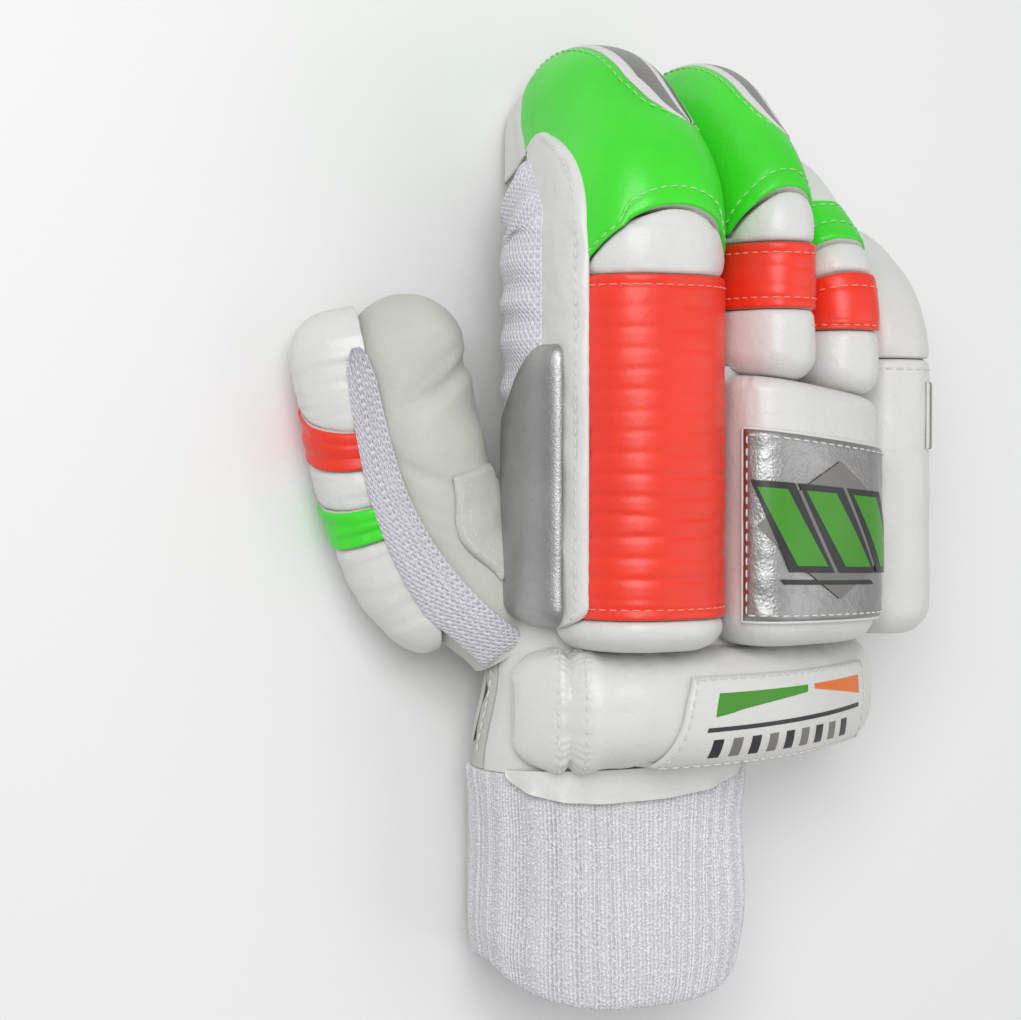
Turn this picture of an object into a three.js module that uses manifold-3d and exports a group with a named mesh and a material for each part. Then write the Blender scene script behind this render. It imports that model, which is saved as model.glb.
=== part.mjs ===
// A cricket batting glove for the right hand, lying palm down on its fingertips and wrist strap.
// Millimetres. +Y runs to the fingertips, +X to the little finger, +Z out of the back of the hand.
import * as THREE from 'three';
import { mergeVertices } from 'three/addons/utils/BufferGeometryUtils.js';
import Module from 'manifold-3d';

const wasm = await Module();
wasm.setup();

// Clearances and walls
const GAP = 0.3;
const LEATHER = 2.0;
const TOWELLING = 3.2;
const COVER = 1.2;
const COVER_SEAT = 0.7;
const SIDE_LEATHER = 1.6;

// The arch of the hand, which sets how high each finger lies
const ARCH_CROWN = 56;
const ARCH_CROWN_X = -8;
const ARCH_RADIUS = 155;
const KNUCKLE_LINE_Y = 24;
const KNUCKLE_LINE_RADIUS = 84;

// Finger columns, set side by side from the thumb-side edge of the index roll
const FIRST_EDGE_X = -47.5;
const ROLL_FLOOR = 2;
const ROLL_POWER = 2.5;
const BEND_RADIUS = 12;
const FIRST_BEND = Math.PI / 4;
const SECOND_BEND = 1.2;
const STALL_TIP_LIFT = 3;
const STALL_POWER = 2.2;
const STALL_ROOT = 2;
const SEAM_PINCH = 0.9;
const SEAM_ROUND = 2.2;

// width of the padded roll at its root and its tip, how far its thumb-side edge moves in at the tip,
// half width (wide) and half height (high) of the stall, rise of the roll over the stall's centre line,
// y where the first bend starts, length between the two bends
const FINGERS = {
  index: { width: 47, tipWidth: 33, inset: 9, wide: 12.5, high: 11.5, rise: 31, bendY: 61, link: 18 },
  middle: { width: 27.5, tipWidth: 26, inset: 0, wide: 11.5, high: 11.5, rise: 32, bendY: 58, link: 17 },
  ring: { width: 27.5, tipWidth: 23, inset: 0, wide: 10.5, high: 11, rise: 30, bendY: 38, link: 15 },
  little: { width: 30, tipWidth: 20, inset: 0, wide: 8.5, high: 9, rise: 26, bendY: 28, link: 6 },
};
const TAPER_LENGTH = 50;

// The seams of each finger's rolls, from its root to its tip. A seam lies at a share of the straight part
// (straight) and then of the bent part (bent), and drops at its sides by a share of the half width (arch).
const SEAMS = {
  index: {
    heel: { straight: -0.77, bent: 0, arch: 0 },
    block: { straight: 0.78, bent: 0, arch: 0 },
    mid: { straight: 1, bent: 0.03, arch: 0.54 },
    tip: { straight: 1, bent: 1.03, arch: 0 },
  },
  middle: {
    lower: { straight: 0.675, bent: 0, arch: 0 },
    band: { straight: 0.997, bent: 0, arch: 0 },
    mid: { straight: 1, bent: 0.1, arch: 0.17 },
    tip: { straight: 1, bent: 1.08, arch: 0 },
  },
  ring: {
    lower: { straight: 0.9, bent: 0, arch: 0 },
    red: { straight: 1, bent: 0.1, arch: 0 },
    mid: { straight: 1, bent: 0.175, arch: 0 },
    green: { straight: 1, bent: 0.44, arch: 0 },
  },
  little: {
    side: { straight: 0.965, bent: 0, arch: 0 },
  },
};
const SEAM_ARCH_POWER = 1.6;

// Striped inlays: lowest and highest angle round the roll, and start and end as shares of the straight
// and the bent part
const INLAYS = {
  index_inlay: { finger: 'index', low: 0.4, high: 1.7, straight: 1, from: 0.29, to: 0.98, rows: 7 },
  middle_inlay: { finger: 'middle', low: 0.4, high: 1.6, straight: 1, from: 0.32, to: 1.03, rows: 7 },
  side_inlay: { finger: 'little', low: 0.4, high: 1.05, straight: 0, from: 0, to: 0.36, rows: 2 },
};

// The hand: a flattened tube from the wrist to the knuckle line
const WRIST_Y = -92;
const HAND_POWER = 2.6;
const HAND_FRONT_HALF_HEIGHT = 14;
const HALF_MARGIN = 12;
const HALF_DEPTH = 60;
const WRIST_CENTRE_X = -15;
const WRIST_HALF_WIDTH = 42;
const WRIST_HALF_HEIGHT = 26.5;

// The wristband and its strap
const BAND_LENGTH = 60;
const HEM_DIP = 8;
const STRAP_WIDTH = 54;
const STRAP_LENGTH = 66;
const STRAP_THICKNESS = 3;
const STRAP_PANEL_DEPTH = 1;
const STRAP_PANEL_INSET = 7;
const STRAP_CORNER = 11;

// Pads on the back of the hand
const BLOCK_REAR_Y = -56;
const BLOCK_FRONT_Y = 21.5;
const BLOCK_FRONT_FALL = 7.5;
const BLOCK_RISE = 31;
const BLOCK_FLOOR = 7;
const BLOCK_POWER = 4;
const BLOCK_ROUND = 9;
const CUFF_LENGTH = 129;
const CUFF_CENTRE_X = 9;
const CUFF_DEPTH = 34;
const CUFF_RISE = 19;
const CUFF_SINK = 7;
const CUFF_TOP_Z = 79;
const CUFF_CROWN_X = -5;
const CUFF_ARCH_RADIUS = 84;
const CUFF_TURN_X = -38;
const CUFF_TURN_RADIUS = 24;
const CUFF_END_RISE = 11;
const CUFF_ROUND = 9;
const SKIRT_REACH = 9;
const SKIRT_EDGE = 0.5;
const SKIRT_FROM = 0.9;
const SKIRT_TO = 2.75;

// The guard bar and the knit gusset on the thumb side of the index finger
const BAR_REAR_Y = -50;
const BAR_FRONT_Y = 29;
const BAR_HEIGHT = 33;
const BAR_CENTRE_Z = 49;
const BAR_THICKNESS = 7.5;
const BAR_SQUARE = 0.85;
const BAR_ROUND = 6;
const FLANK_END = 0.574;
const FLANK_BOTTOM = -5;
const FLANK_TOP = 18;
const GUSSET_REAR_Y = -44;
const GUSSET_DROP = 13;
const GUSSET_HEIGHT = 22;
const GUSSET_THICKNESS = 7;

// The thumb, which lies on its side beside the hand
const THUMB_HEIGHT = 21.5;
const THUMB_ROOT_X = -38;
const THUMB_ROOT_Y = -70;
const THUMB_ROOT_LIFT = 10;
const THUMB_SPREAD = 39.5;
const THUMB_REACH = 97;
const THUMB_HALF_WIDTH = 18.5;
const THUMB_HALF_HEIGHT = 18.5;
const THUMB_WALL = 2.0;
const THUMB_POWER = 2.3;
const THUMB_ROLL_RISE = 32.5;
const THUMB_ROLL_HALF_HEIGHT = 15;
const THUMB_ROLL_TURN = 0.3;
const THUMB_ROLL_FLOOR = 12;
const THUMB_ROLL_ROOT = 0.3;
const THUMB_ROLL_FULL = 0.446;
const THUMB_ROLL_SWELL = 0.8;
const THUMB_ROLL_LOW = 0.6;
const THUMB_BASE_ROUND = 9;
const THUMB_TIP_ROUND = 13;

const mix = (a, b, t) => a + (b - a) * t;
const clamp = (t) => Math.min(1, Math.max(0, t));
const steps = (from, to, count) => Array.from({ length: count + 1 }, (_, i) => mix(from, to, i / count));
const ringAngles = (count) => steps(0, 2 * Math.PI, count).slice(0, -1);
const power = (value, exponent) => Math.sign(value) * Math.abs(value) ** exponent;

// Reads a named column of a table at a share between its rows, along smooth curves.
function readTable(table, column, share) {
  const last = table.length - 1;
  let row = 0;
  while (row < last - 1 && share > table[row + 1].share) {
    row += 1;
  }
  const a = table[row];
  const b = table[row + 1];
  const t = clamp((share - a.share) / (b.share - a.share));
  return mix(a[column], b[column], t * t * (3 - 2 * t));
}

// A closed body between an outer and an inner surface, both functions of two parameters.
// Edges that stay open are joined by rims; where the two surfaces meet, the rim vanishes.
function body(outer, inner, across, along, closed = false) {
  const points = [];
  const triangles = [];
  const columns = across.length;
  const rows = along.length;
  for (const surface of [outer, inner]) {
    for (const v of along) {
      for (const u of across) {
        points.push(...surface(u, v));
      }
    }
  }
  const at = (side, row, column) => (side * rows + row) * columns + (column % columns);
  const quad = (a, b, c, d) => triangles.push(a, b, c, a, c, d);
  const spans = closed ? columns : columns - 1;
  for (let row = 0; row < rows - 1; row += 1) {
    for (let column = 0; column < spans; column += 1) {
      quad(at(0, row, column), at(0, row, column + 1), at(0, row + 1, column + 1), at(0, row + 1, column));
      quad(at(1, row, column), at(1, row + 1, column), at(1, row + 1, column + 1), at(1, row, column + 1));
    }
    if (!closed) {
      quad(at(0, row, 0), at(0, row + 1, 0), at(1, row + 1, 0), at(1, row, 0));
      quad(at(0, row, spans), at(1, row, spans), at(1, row + 1, spans), at(0, row + 1, spans));
    }
  }
  for (let column = 0; column < spans; column += 1) {
    const end = rows - 1;
    quad(at(0, 0, column), at(1, 0, column), at(1, 0, column + 1), at(0, 0, column + 1));
    quad(at(0, end, column), at(0, end, column + 1), at(1, end, column + 1), at(1, end, column));
  }
  return solidFrom(points, triangles);
}

// Merges the shared points, drops the empty triangles and turns the faces outwards.
function solidFrom(points, triangles) {
  const raw = new THREE.BufferGeometry();
  raw.setAttribute('position', new THREE.Float32BufferAttribute(points, 3));
  raw.setIndex(triangles);
  const merged = mergeVertices(raw, 2e-3);
  const index = merged.getIndex().array;
  const position = merged.getAttribute('position');
  const kept = [];
  let volume = 0;
  const corner = [new THREE.Vector3(), new THREE.Vector3(), new THREE.Vector3()];
  for (let i = 0; i < index.length; i += 3) {
    const [a, b, c] = index.slice(i, i + 3);
    if (a === b || b === c || a === c) {
      continue;
    }
    kept.push(a, b, c);
    corner[0].fromBufferAttribute(position, a);
    corner[1].fromBufferAttribute(position, b);
    corner[2].fromBufferAttribute(position, c);
    volume += corner[0].dot(corner[1].cross(corner[2]));
  }
  if (volume < 0) {
    kept.reverse();
  }
  return new wasm.Manifold(new wasm.Mesh({
    numProp: 3,
    vertProperties: new Float32Array(position.array),
    triVerts: new Uint32Array(kept),
  }));
}

// A filled body inside a surface round a centre line, closed between its upper and lower halves.
function filled(surface, count, along) {
  return body(surface, (angle, v) => surface(-angle, v), steps(0, Math.PI, count / 2), along);
}

function cut(solid, ...tools) {
  return tools.reduce((rest, tool) => rest.subtract(tool), solid);
}

function toGeometry(solid) {
  const mesh = solid.getMesh();
  const geometry = new THREE.BufferGeometry();
  geometry.setAttribute('position', new THREE.Float32BufferAttribute(mesh.vertProperties, 3));
  geometry.setIndex(Array.from(mesh.triVerts));
  geometry.computeVertexNormals();
  return geometry;
}

// Leathers and knits
const leatherWhite = { color: 0xe2e3dc, roughness: 0.48, metalness: 0 };
const leatherPalm = { color: 0xced1c7, roughness: 0.7, metalness: 0 };
const leatherGreen = { color: 0x3ce128, roughness: 0.45, metalness: 0 };
const leatherRed = { color: 0xf83a26, roughness: 0.42, metalness: 0 };
const leatherSilver = { color: 0x969696, roughness: 0.38, metalness: 0.6 };
const leatherStriped = { color: 0x6e6e69, roughness: 0.5, metalness: 0 };
const towelling = { color: 0xd0ced6, roughness: 0.95, metalness: 0 };
const knit = { color: 0xd4d2de, roughness: 0.9, metalness: 0 };

const glove = new THREE.Group();

function add(name, solid, finish) {
  const mesh = new THREE.Mesh(toGeometry(solid), new THREE.MeshStandardMaterial(finish));
  mesh.name = name;
  glove.add(mesh);
}

const archZ = (x) => ARCH_CROWN - (x - ARCH_CROWN_X) ** 2 / (2 * ARCH_RADIUS);
const knuckleY = (x) => KNUCKLE_LINE_Y - (x - ARCH_CROWN_X) ** 2 / (2 * KNUCKLE_LINE_RADIUS);

// Each finger's column follows the last one, one clearance away.
let edgeX = FIRST_EDGE_X;
for (const finger of Object.values(FINGERS)) {
  finger.edge = edgeX;
  finger.x = edgeX + finger.width / 2;
  finger.z = archZ(finger.x);
  edgeX += finger.width + GAP;
}
const LAST_EDGE_X = edgeX - GAP;

// The parts of a finger's centre line: straight to the first bend, two bends, then down to the floor.
for (const finger of Object.values(FINGERS)) {
  finger.runs = [
    { length: BEND_RADIUS * FIRST_BEND, turn: FIRST_BEND },
    { length: finger.link, turn: 0 },
    { length: BEND_RADIUS * SECOND_BEND, turn: SECOND_BEND },
  ];
  finger.bentAt = finger.bendY + finger.runs.reduce((sum, run) => sum + run.length, 0);
  const bentZ = centreLine(finger, finger.bentAt).z;
  const steepness = Math.sin(FIRST_BEND + SECOND_BEND);
  finger.floorAt = finger.bentAt + bentZ / steepness;
  finger.domeAt = finger.bentAt + (bentZ - finger.high - STALL_TIP_LIFT) / steepness;
}

// Past its first bend a finger narrows towards its tip.
function taperAt(finger, distance) {
  return clamp((distance - finger.bendY) / TAPER_LENGTH);
}

function halfWidth(finger, distance) {
  return mix(finger.width, finger.tipWidth, taperAt(finger, distance)) / 2;
}

// A point on a finger's centre line. The distance equals y on the straight part.
function centreLine(finger, distance) {
  let y = Math.min(distance, finger.bendY);
  let z = finger.z;
  let left = distance - y;
  let pitch = 0;
  for (const run of finger.runs) {
    const part = Math.min(Math.max(left, 0), run.length);
    const turned = run.turn * (part / run.length);
    if (run.turn > 0) {
      const radius = run.length / run.turn;
      y += radius * (Math.sin(pitch + turned) - Math.sin(pitch));
      z -= radius * (Math.cos(pitch) - Math.cos(pitch + turned));
    } else {
      y += part * Math.cos(pitch);
      z -= part * Math.sin(pitch);
    }
    pitch += turned;
    left -= part;
  }
  if (left > 0) {
    y += left * Math.cos(pitch);
    z -= left * Math.sin(pitch);
  }
  const x = finger.edge + finger.inset * taperAt(finger, distance) + halfWidth(finger, distance);
  return { x, y, z, outY: Math.sin(pitch), outZ: Math.cos(pitch) };
}

// A point on a finger's padded roll. The angle runs from its little-finger side over the top.
function rollPoint(finger, angle, distance, lift) {
  const exponent = 2 / ROLL_POWER;
  const aside = power(Math.cos(angle), exponent) * (halfWidth(finger, distance) + lift);
  const up = power(Math.sin(angle), exponent) * (finger.rise + lift - ROLL_FLOOR) + ROLL_FLOOR;
  const line = centreLine(finger, distance);
  return [line.x + aside, line.y + line.outY * up, line.z + line.outZ * up];
}

function rollUnderside(finger, angle, distance, lift) {
  const exponent = 2 / ROLL_POWER;
  const aside = power(Math.cos(angle), exponent) * (halfWidth(finger, distance) + lift);
  const line = centreLine(finger, distance);
  return [line.x + aside, line.y + line.outY * ROLL_FLOOR, line.z + line.outZ * ROLL_FLOOR];
}

// How far a pad's surface drops at a distance from its end, as a quarter round.
function endDrop(fromEnd, depth, round) {
  if (fromEnd >= round) {
    return 0;
  }
  return depth * (1 - Math.sqrt(Math.max(0, 1 - (1 - fromEnd / round) ** 2)));
}

// One length of padded roll between two lines across the finger. A round end has its own radius.
function rollSection(finger, start, end, fine = false, round = 0) {
  const startDepth = round || SEAM_PINCH;
  const startRound = round || SEAM_ROUND;
  const angles = steps(0, Math.PI, 8);
  const long = outerLength(finger, start(Math.PI / 2), end(Math.PI / 2));
  const near = Math.min(0.2, SEAM_ROUND / long);
  const rows = steps(near, 1 - near, fine ? 6 : 2);
  if (round) {
    rows.unshift(near * 0.4, 0.2 * round / long);
    rows.push(0.6 * round / long, round / long);
    rows.sort((a, b) => a - b);
  }
  rows.unshift(0);
  rows.push(1);
  const spot = (angle, share) => {
    const from = start(angle);
    const to = end(angle);
    const span = outerLength(finger, from, to);
    const startDrop = endDrop(share * span, startDepth, startRound);
    const drop = startDrop + endDrop((1 - share) * span, SEAM_PINCH, SEAM_ROUND);
    return { distance: mix(from, to, share), drop };
  };
  const outer = (angle, share) => {
    const { distance, drop } = spot(angle, share);
    return rollPoint(finger, angle, distance, -drop);
  };
  const inner = (angle, share) => {
    const { distance, drop } = spot(angle, share);
    return rollUnderside(finger, angle, distance, -drop);
  };
  return body(outer, inner, angles, rows);
}

// The length along the top of a roll between two distances on its centre line.
function outerLength(finger, from, to) {
  const a = centreLine(finger, from);
  const b = centreLine(finger, to);
  const lengthY = b.y + b.outY * finger.rise - a.y - a.outY * finger.rise;
  const lengthZ = b.z + b.outZ * finger.rise - a.z - a.outZ * finger.rise;
  return Math.hypot(lengthY, lengthZ);
}

// The finger stalls: leather tubes, open to the hand and closed at the tip
const STALL_SIDES = 10;
const stallRing = ringAngles(STALL_SIDES);

function stallRows(finger) {
  const spots = [0, 0.5].map((share) => ({ base: share, at: 0, dome: 0 }));
  const firstBend = [0, 0.5, 1].map((share) => finger.bendY + share * BEND_RADIUS * FIRST_BEND);
  const secondBend = [1, 0.5, 0].map((share) => finger.bentAt - share * BEND_RADIUS * SECOND_BEND);
  for (const at of [...firstBend, ...secondBend, finger.domeAt]) {
    spots.push({ base: 1, at, dome: 0 });
  }
  for (const dome of [0.5, 1]) {
    spots.push({ base: 1, at: finger.domeAt, dome: dome * Math.PI / 2 });
  }
  return spots;
}

function stallPoint(finger, angle, row, lift) {
  const exponent = 2 / mix(BLOCK_POWER, STALL_POWER, row.base);
  const swell = row.base * row.base * (3 - 2 * row.base);
  const wide = mix(finger.width / 2 - GAP, finger.wide, swell) + lift;
  const high = mix(HAND_FRONT_HALF_HEIGHT - LEATHER / 2, finger.high, swell) + lift;
  const aside = power(Math.cos(angle), exponent) * wide * Math.cos(row.dome);
  const up = power(Math.sin(angle), exponent) * high * Math.cos(row.dome);
  const rootY = knuckleY(finger.x + aside) - (row.root ?? 0);
  const baseY = mix(rootY, finger.bendY, row.base);
  const distance = row.base < 1 ? baseY : row.at + (finger.high + lift) * Math.sin(row.dome);
  const line = centreLine(finger, distance);
  return [line.x + aside, line.y + line.outY * up, line.z + line.outZ * up];
}

for (const finger of Object.values(FINGERS)) {
  const rows = stallRows(finger);
  const outer = (angle, row) => stallPoint(finger, angle, row, 0);
  const inner = (angle, row) => stallPoint(finger, angle, row, -LEATHER);
  const clear = (angle, row) => stallPoint(finger, angle, row, GAP);
  finger.room = filled(clear, STALL_SIDES, [{ ...rows[0], root: STALL_ROOT }, ...rows]);
  finger.stall = body(outer, inner, stallRing, rows, true);
}

// The hand tube, in two pieces: the palm leather below and the backing above
const frontCentreX = (FIRST_EDGE_X + LAST_EDGE_X) / 2;
const frontHalfWidth = (LAST_EDGE_X - FIRST_EDGE_X) / 2;
const wristZ = STRAP_THICKNESS + STRAP_PANEL_DEPTH + GAP + WRIST_HALF_HEIGHT;
const HAND_TABLE = [
  { share: 0, x: WRIST_CENTRE_X, wide: WRIST_HALF_WIDTH, high: WRIST_HALF_HEIGHT, z: wristZ, arch: 0 },
  {
    share: 0.28,
    x: mix(WRIST_CENTRE_X, frontCentreX, 0.3),
    wide: mix(WRIST_HALF_WIDTH, frontHalfWidth, 0.3),
    high: mix(WRIST_HALF_HEIGHT, HAND_FRONT_HALF_HEIGHT, 0.12),
    z: mix(wristZ, ARCH_CROWN, 0.22),
    arch: 0.25,
  },
  {
    share: 0.6,
    x: mix(WRIST_CENTRE_X, frontCentreX, 0.68),
    wide: mix(WRIST_HALF_WIDTH, frontHalfWidth, 0.74),
    high: mix(WRIST_HALF_HEIGHT, HAND_FRONT_HALF_HEIGHT, 0.4),
    z: mix(wristZ, ARCH_CROWN, 0.62),
    arch: 0.7,
  },
  { share: 1, x: frontCentreX, wide: frontHalfWidth, high: HAND_FRONT_HALF_HEIGHT, z: ARCH_CROWN, arch: 1 },
];

function handPoint(angle, share, lift) {
  const exponent = 2 / HAND_POWER;
  const wide = readTable(HAND_TABLE, 'wide', share) + lift;
  const high = readTable(HAND_TABLE, 'high', share) + lift;
  const x = readTable(HAND_TABLE, 'x', share) + power(Math.cos(angle), exponent) * wide;
  const fall = readTable(HAND_TABLE, 'arch', share) * (ARCH_CROWN - archZ(x));
  const z = readTable(HAND_TABLE, 'z', share) - fall + power(Math.sin(angle), exponent) * high;
  const ease = Math.max(0, lift);
  return [x, mix(WRIST_Y - ease, knuckleY(x) + ease, share), z];
}

const handRows = steps(0, 1, 5);
const HAND_SIDES = 22;
const handRing = ringAngles(HAND_SIDES);
const handRoom = filled((angle, share) => handPoint(angle, share, GAP), HAND_SIDES, handRows);

const handTube = body(
  (angle, share) => handPoint(angle, share, 0),
  (angle, share) => handPoint(angle, share, -LEATHER),
  handRing, handRows, true,
);

// The tube is parted along its middle by a curved sheet of space, one clearance thick.
function handHalf(near, far) {
  const level = (aside, share, height) => {
    const x = readTable(HAND_TABLE, 'x', share) + aside * (frontHalfWidth + HALF_MARGIN);
    const fall = readTable(HAND_TABLE, 'arch', share) * (ARCH_CROWN - archZ(x));
    const y = mix(WRIST_Y, knuckleY(x), share) + mix(-HALF_MARGIN, HALF_MARGIN, share);
    return [x, y, readTable(HAND_TABLE, 'z', share) - fall + height];
  };
  return body(
    (aside, share) => level(aside, share, far),
    (aside, share) => level(aside, share, near),
    steps(-1, 1, 8), handRows,
  );
}
const handBack = handTube.intersect(handHalf(GAP / 2, HALF_DEPTH));
const handPalm = handTube.intersect(handHalf(-GAP / 2, -HALF_DEPTH));

// The thumb's centre line, from inside the hand to where its rounded tip starts
const THUMB_PATH = [
  { spread: 0, reach: 0, lift: 1 },
  { spread: 0.44, reach: 0.31, lift: 0.3 },
  { spread: 0.8, reach: 0.62, lift: 0 },
  { spread: 1, reach: 1, lift: 0 },
];
const thumbLine = new THREE.CatmullRomCurve3(THUMB_PATH.map((row) => new THREE.Vector3(
  THUMB_ROOT_X - row.spread * THUMB_SPREAD,
  THUMB_ROOT_Y + row.reach * THUMB_REACH,
  THUMB_HEIGHT + row.lift * THUMB_ROOT_LIFT,
)));
const THUMB_TABLE = [
  { share: 0, across: 0.93, high: 1.03 },
  { share: 0.5, across: 1, high: 1 },
  { share: 1, across: 0.95, high: 0.92 },
];

function thumbFrame(share) {
  const at = thumbLine.getPoint(share);
  const ahead = thumbLine.getTangent(share);
  const outward = new THREE.Vector3(-ahead.y, ahead.x, 0).normalize();
  const up = new THREE.Vector3().crossVectors(ahead, outward);
  return { at, ahead, outward, up };
}

function thumbPlace(share, forward, outward, up) {
  const frame = thumbFrame(share);
  const point = frame.at.clone();
  point.addScaledVector(frame.ahead, forward);
  point.addScaledVector(frame.outward, outward);
  point.addScaledVector(frame.up, up);
  return point.toArray();
}

const thumbRows = steps(0, 1, 5).map((share) => ({ share, dome: 0 }));
for (const dome of [0.5, 0.8, 1]) {
  thumbRows.push({ share: 1, dome: dome * Math.PI / 2 });
}
const THUMB_SIDES = 14;
const thumbRing = ringAngles(THUMB_SIDES);

// The angle runs from the outward side of the thumb over its upper side.
function thumbPoint(angle, row, lift) {
  const exponent = 2 / THUMB_POWER;
  const across = THUMB_HALF_WIDTH * readTable(THUMB_TABLE, 'across', row.share) + lift;
  const high = THUMB_HALF_HEIGHT * readTable(THUMB_TABLE, 'high', row.share) + lift;
  const outward = power(Math.cos(angle), exponent) * across * Math.cos(row.dome);
  const up = power(Math.sin(angle), exponent) * high * Math.cos(row.dome);
  return thumbPlace(row.share, across * Math.sin(row.dome), outward, up);
}

const thumbSpace = (lift) => filled((angle, row) => thumbPoint(angle, row, lift), THUMB_SIDES, thumbRows);
const thumbRoom = thumbSpace(GAP);
const coveredThumbRoom = thumbSpace(COVER_SEAT + COVER + 3 * GAP);
const thumbHollow = thumbSpace(-THUMB_WALL);
const thumbTube = body(
  (angle, row) => thumbPoint(angle, row, 0),
  (angle, row) => thumbPoint(angle, row, -THUMB_WALL),
  thumbRing, thumbRows, true,
);
add('thumb_stall', cut(thumbTube, handRoom), leatherPalm);
add('hand_backing', cut(handBack, thumbHollow), leatherWhite);
add('hand_palm', cut(handPalm, thumbHollow), leatherPalm);
for (const [name, finger] of Object.entries(FINGERS)) {
  add(`${name}_stall`, cut(finger.stall, handRoom), leatherPalm);
}

// The thumb's padded roll: white, with a red and a green band
function thumbRollPoint(angle, share, lift) {
  const exponent = 2 / THUMB_POWER;
  const taper = clamp(mix(THUMB_ROLL_ROOT, 1, share / THUMB_ROLL_FULL)) ** THUMB_ROLL_SWELL;
  const reach = THUMB_ROLL_FLOOR + (THUMB_ROLL_RISE - THUMB_ROLL_FLOOR + lift) * taper;
  const high = (THUMB_ROLL_HALF_HEIGHT + lift) * clamp(mix(THUMB_ROLL_LOW, 1, 2 * share));
  const out = THUMB_ROLL_FLOOR + power(Math.sin(angle), exponent) * (reach - THUMB_ROLL_FLOOR);
  return { out, up: -power(Math.cos(angle), exponent) * high };
}

// The roll faces outwards and a little down, so its section is turned about the thumb's centre line.
function turnedDown(out, up) {
  const sine = Math.sin(THUMB_ROLL_TURN);
  const cosine = Math.cos(THUMB_ROLL_TURN);
  return [out * cosine + up * sine, up * cosine - out * sine];
}

function thumbRollSection(from, to, rows, startRound, endRound) {
  const length = thumbLine.getLength();
  const drop = (share) => {
    const atStart = endDrop((share - from) * length, startRound || SEAM_PINCH, startRound || SEAM_ROUND);
    const atEnd = endDrop((to - share) * length, endRound || SEAM_PINCH, endRound || SEAM_ROUND);
    return atStart + atEnd;
  };
  const place = (angle, share, under) => {
    const spot = thumbRollPoint(angle, share, -drop(share));
    const inCurve = Math.min(share, 1);
    const beyond = (share - inCurve) * length;
    return thumbPlace(inCurve, beyond, ...turnedDown(under ? THUMB_ROLL_FLOOR : spot.out, spot.up));
  };
  const shares = rows.map((t) => mix(from, to, t));
  return body(
    (angle, share) => place(angle, share, false),
    (angle, share) => place(angle, share, true),
    steps(0, Math.PI, 8), shares,
  );
}

// Where each length of the roll ends, as a share of the thumb's centre line
const THUMB_ROLL_FROM = 0.25;
const THUMB_ROLLS = [
  { name: 'thumb_roll_base', to: 0.6, finish: leatherWhite, start: THUMB_BASE_ROUND },
  { name: 'thumb_band_green', to: 0.69, finish: leatherGreen },
  { name: 'thumb_roll_mid', to: 0.78, finish: leatherWhite },
  { name: 'thumb_band_red', to: 0.89, finish: leatherRed },
  { name: 'thumb_roll_tip', to: 1.155, finish: leatherWhite, end: THUMB_TIP_ROUND },
];
let rollFrom = THUMB_ROLL_FROM;
for (const roll of THUMB_ROLLS) {
  const rows = roll.end ? [0, 0.08, 0.5, 0.7, 0.9, 1] : [0, 0.15, 0.85, 1];
  const raw = thumbRollSection(rollFrom, roll.to, rows, roll.start, roll.end);
  add(roll.name, cut(raw, thumbRoom, handRoom), roll.finish);
  rollFrom = roll.to + GAP / thumbLine.getLength();
}

// The wristband: a towelling tube that carries on from the wrist end of the hand
const BAND_TABLE = [
  { share: 0, wide: 1, high: 1 },
  { share: 0.3, wide: 0.97, high: 0.99 },
  { share: 0.8, wide: 1, high: 1 },
  { share: 1, wide: 0.97, high: 0.98 },
];

function bandPoint(angle, share, lift) {
  const exponent = 2 / (Math.sin(angle) < 0 ? HAND_POWER + 0.8 : HAND_POWER - 0.3 * share);
  const wide = WRIST_HALF_WIDTH * readTable(BAND_TABLE, 'wide', share) + lift;
  const high = WRIST_HALF_HEIGHT * readTable(BAND_TABLE, 'high', share);
  const up = power(Math.sin(angle), exponent);
  const floor = wristZ - WRIST_HALF_HEIGHT;
  const z = floor + high + up * (high + lift);
  const dip = HEM_DIP * Math.max(0, up) * share;
  const y = WRIST_Y - GAP - share * BAND_LENGTH - dip;
  return [WRIST_CENTRE_X + power(Math.cos(angle), exponent) * wide, y, z];
}

const wristband = body(
  (angle, share) => bandPoint(angle, share, 0),
  (angle, share) => bandPoint(angle, share, -TOWELLING),
  handRing, [0, 0.3, 0.7, 0.94, 1], true,
);
add('wristband', wristband, towelling);

// The closing strap: a rounded plate with a raised panel, flat where the glove rests on it
function roundedOutline(halfLength, halfWidth, radius) {
  const points = [];
  for (const corner of [0, 1, 2, 3]) {
    for (const turn of steps(0, Math.PI / 2, 4)) {
      const angle = corner * Math.PI / 2 + turn;
      const sideX = corner === 0 || corner === 3 ? 1 : -1;
      const sideY = corner < 2 ? 1 : -1;
      const x = sideX * (halfLength - radius) + radius * Math.cos(angle);
      const y = sideY * (halfWidth - radius) + radius * Math.sin(angle);
      points.push([x, y]);
    }
  }
  return points;
}

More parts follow.
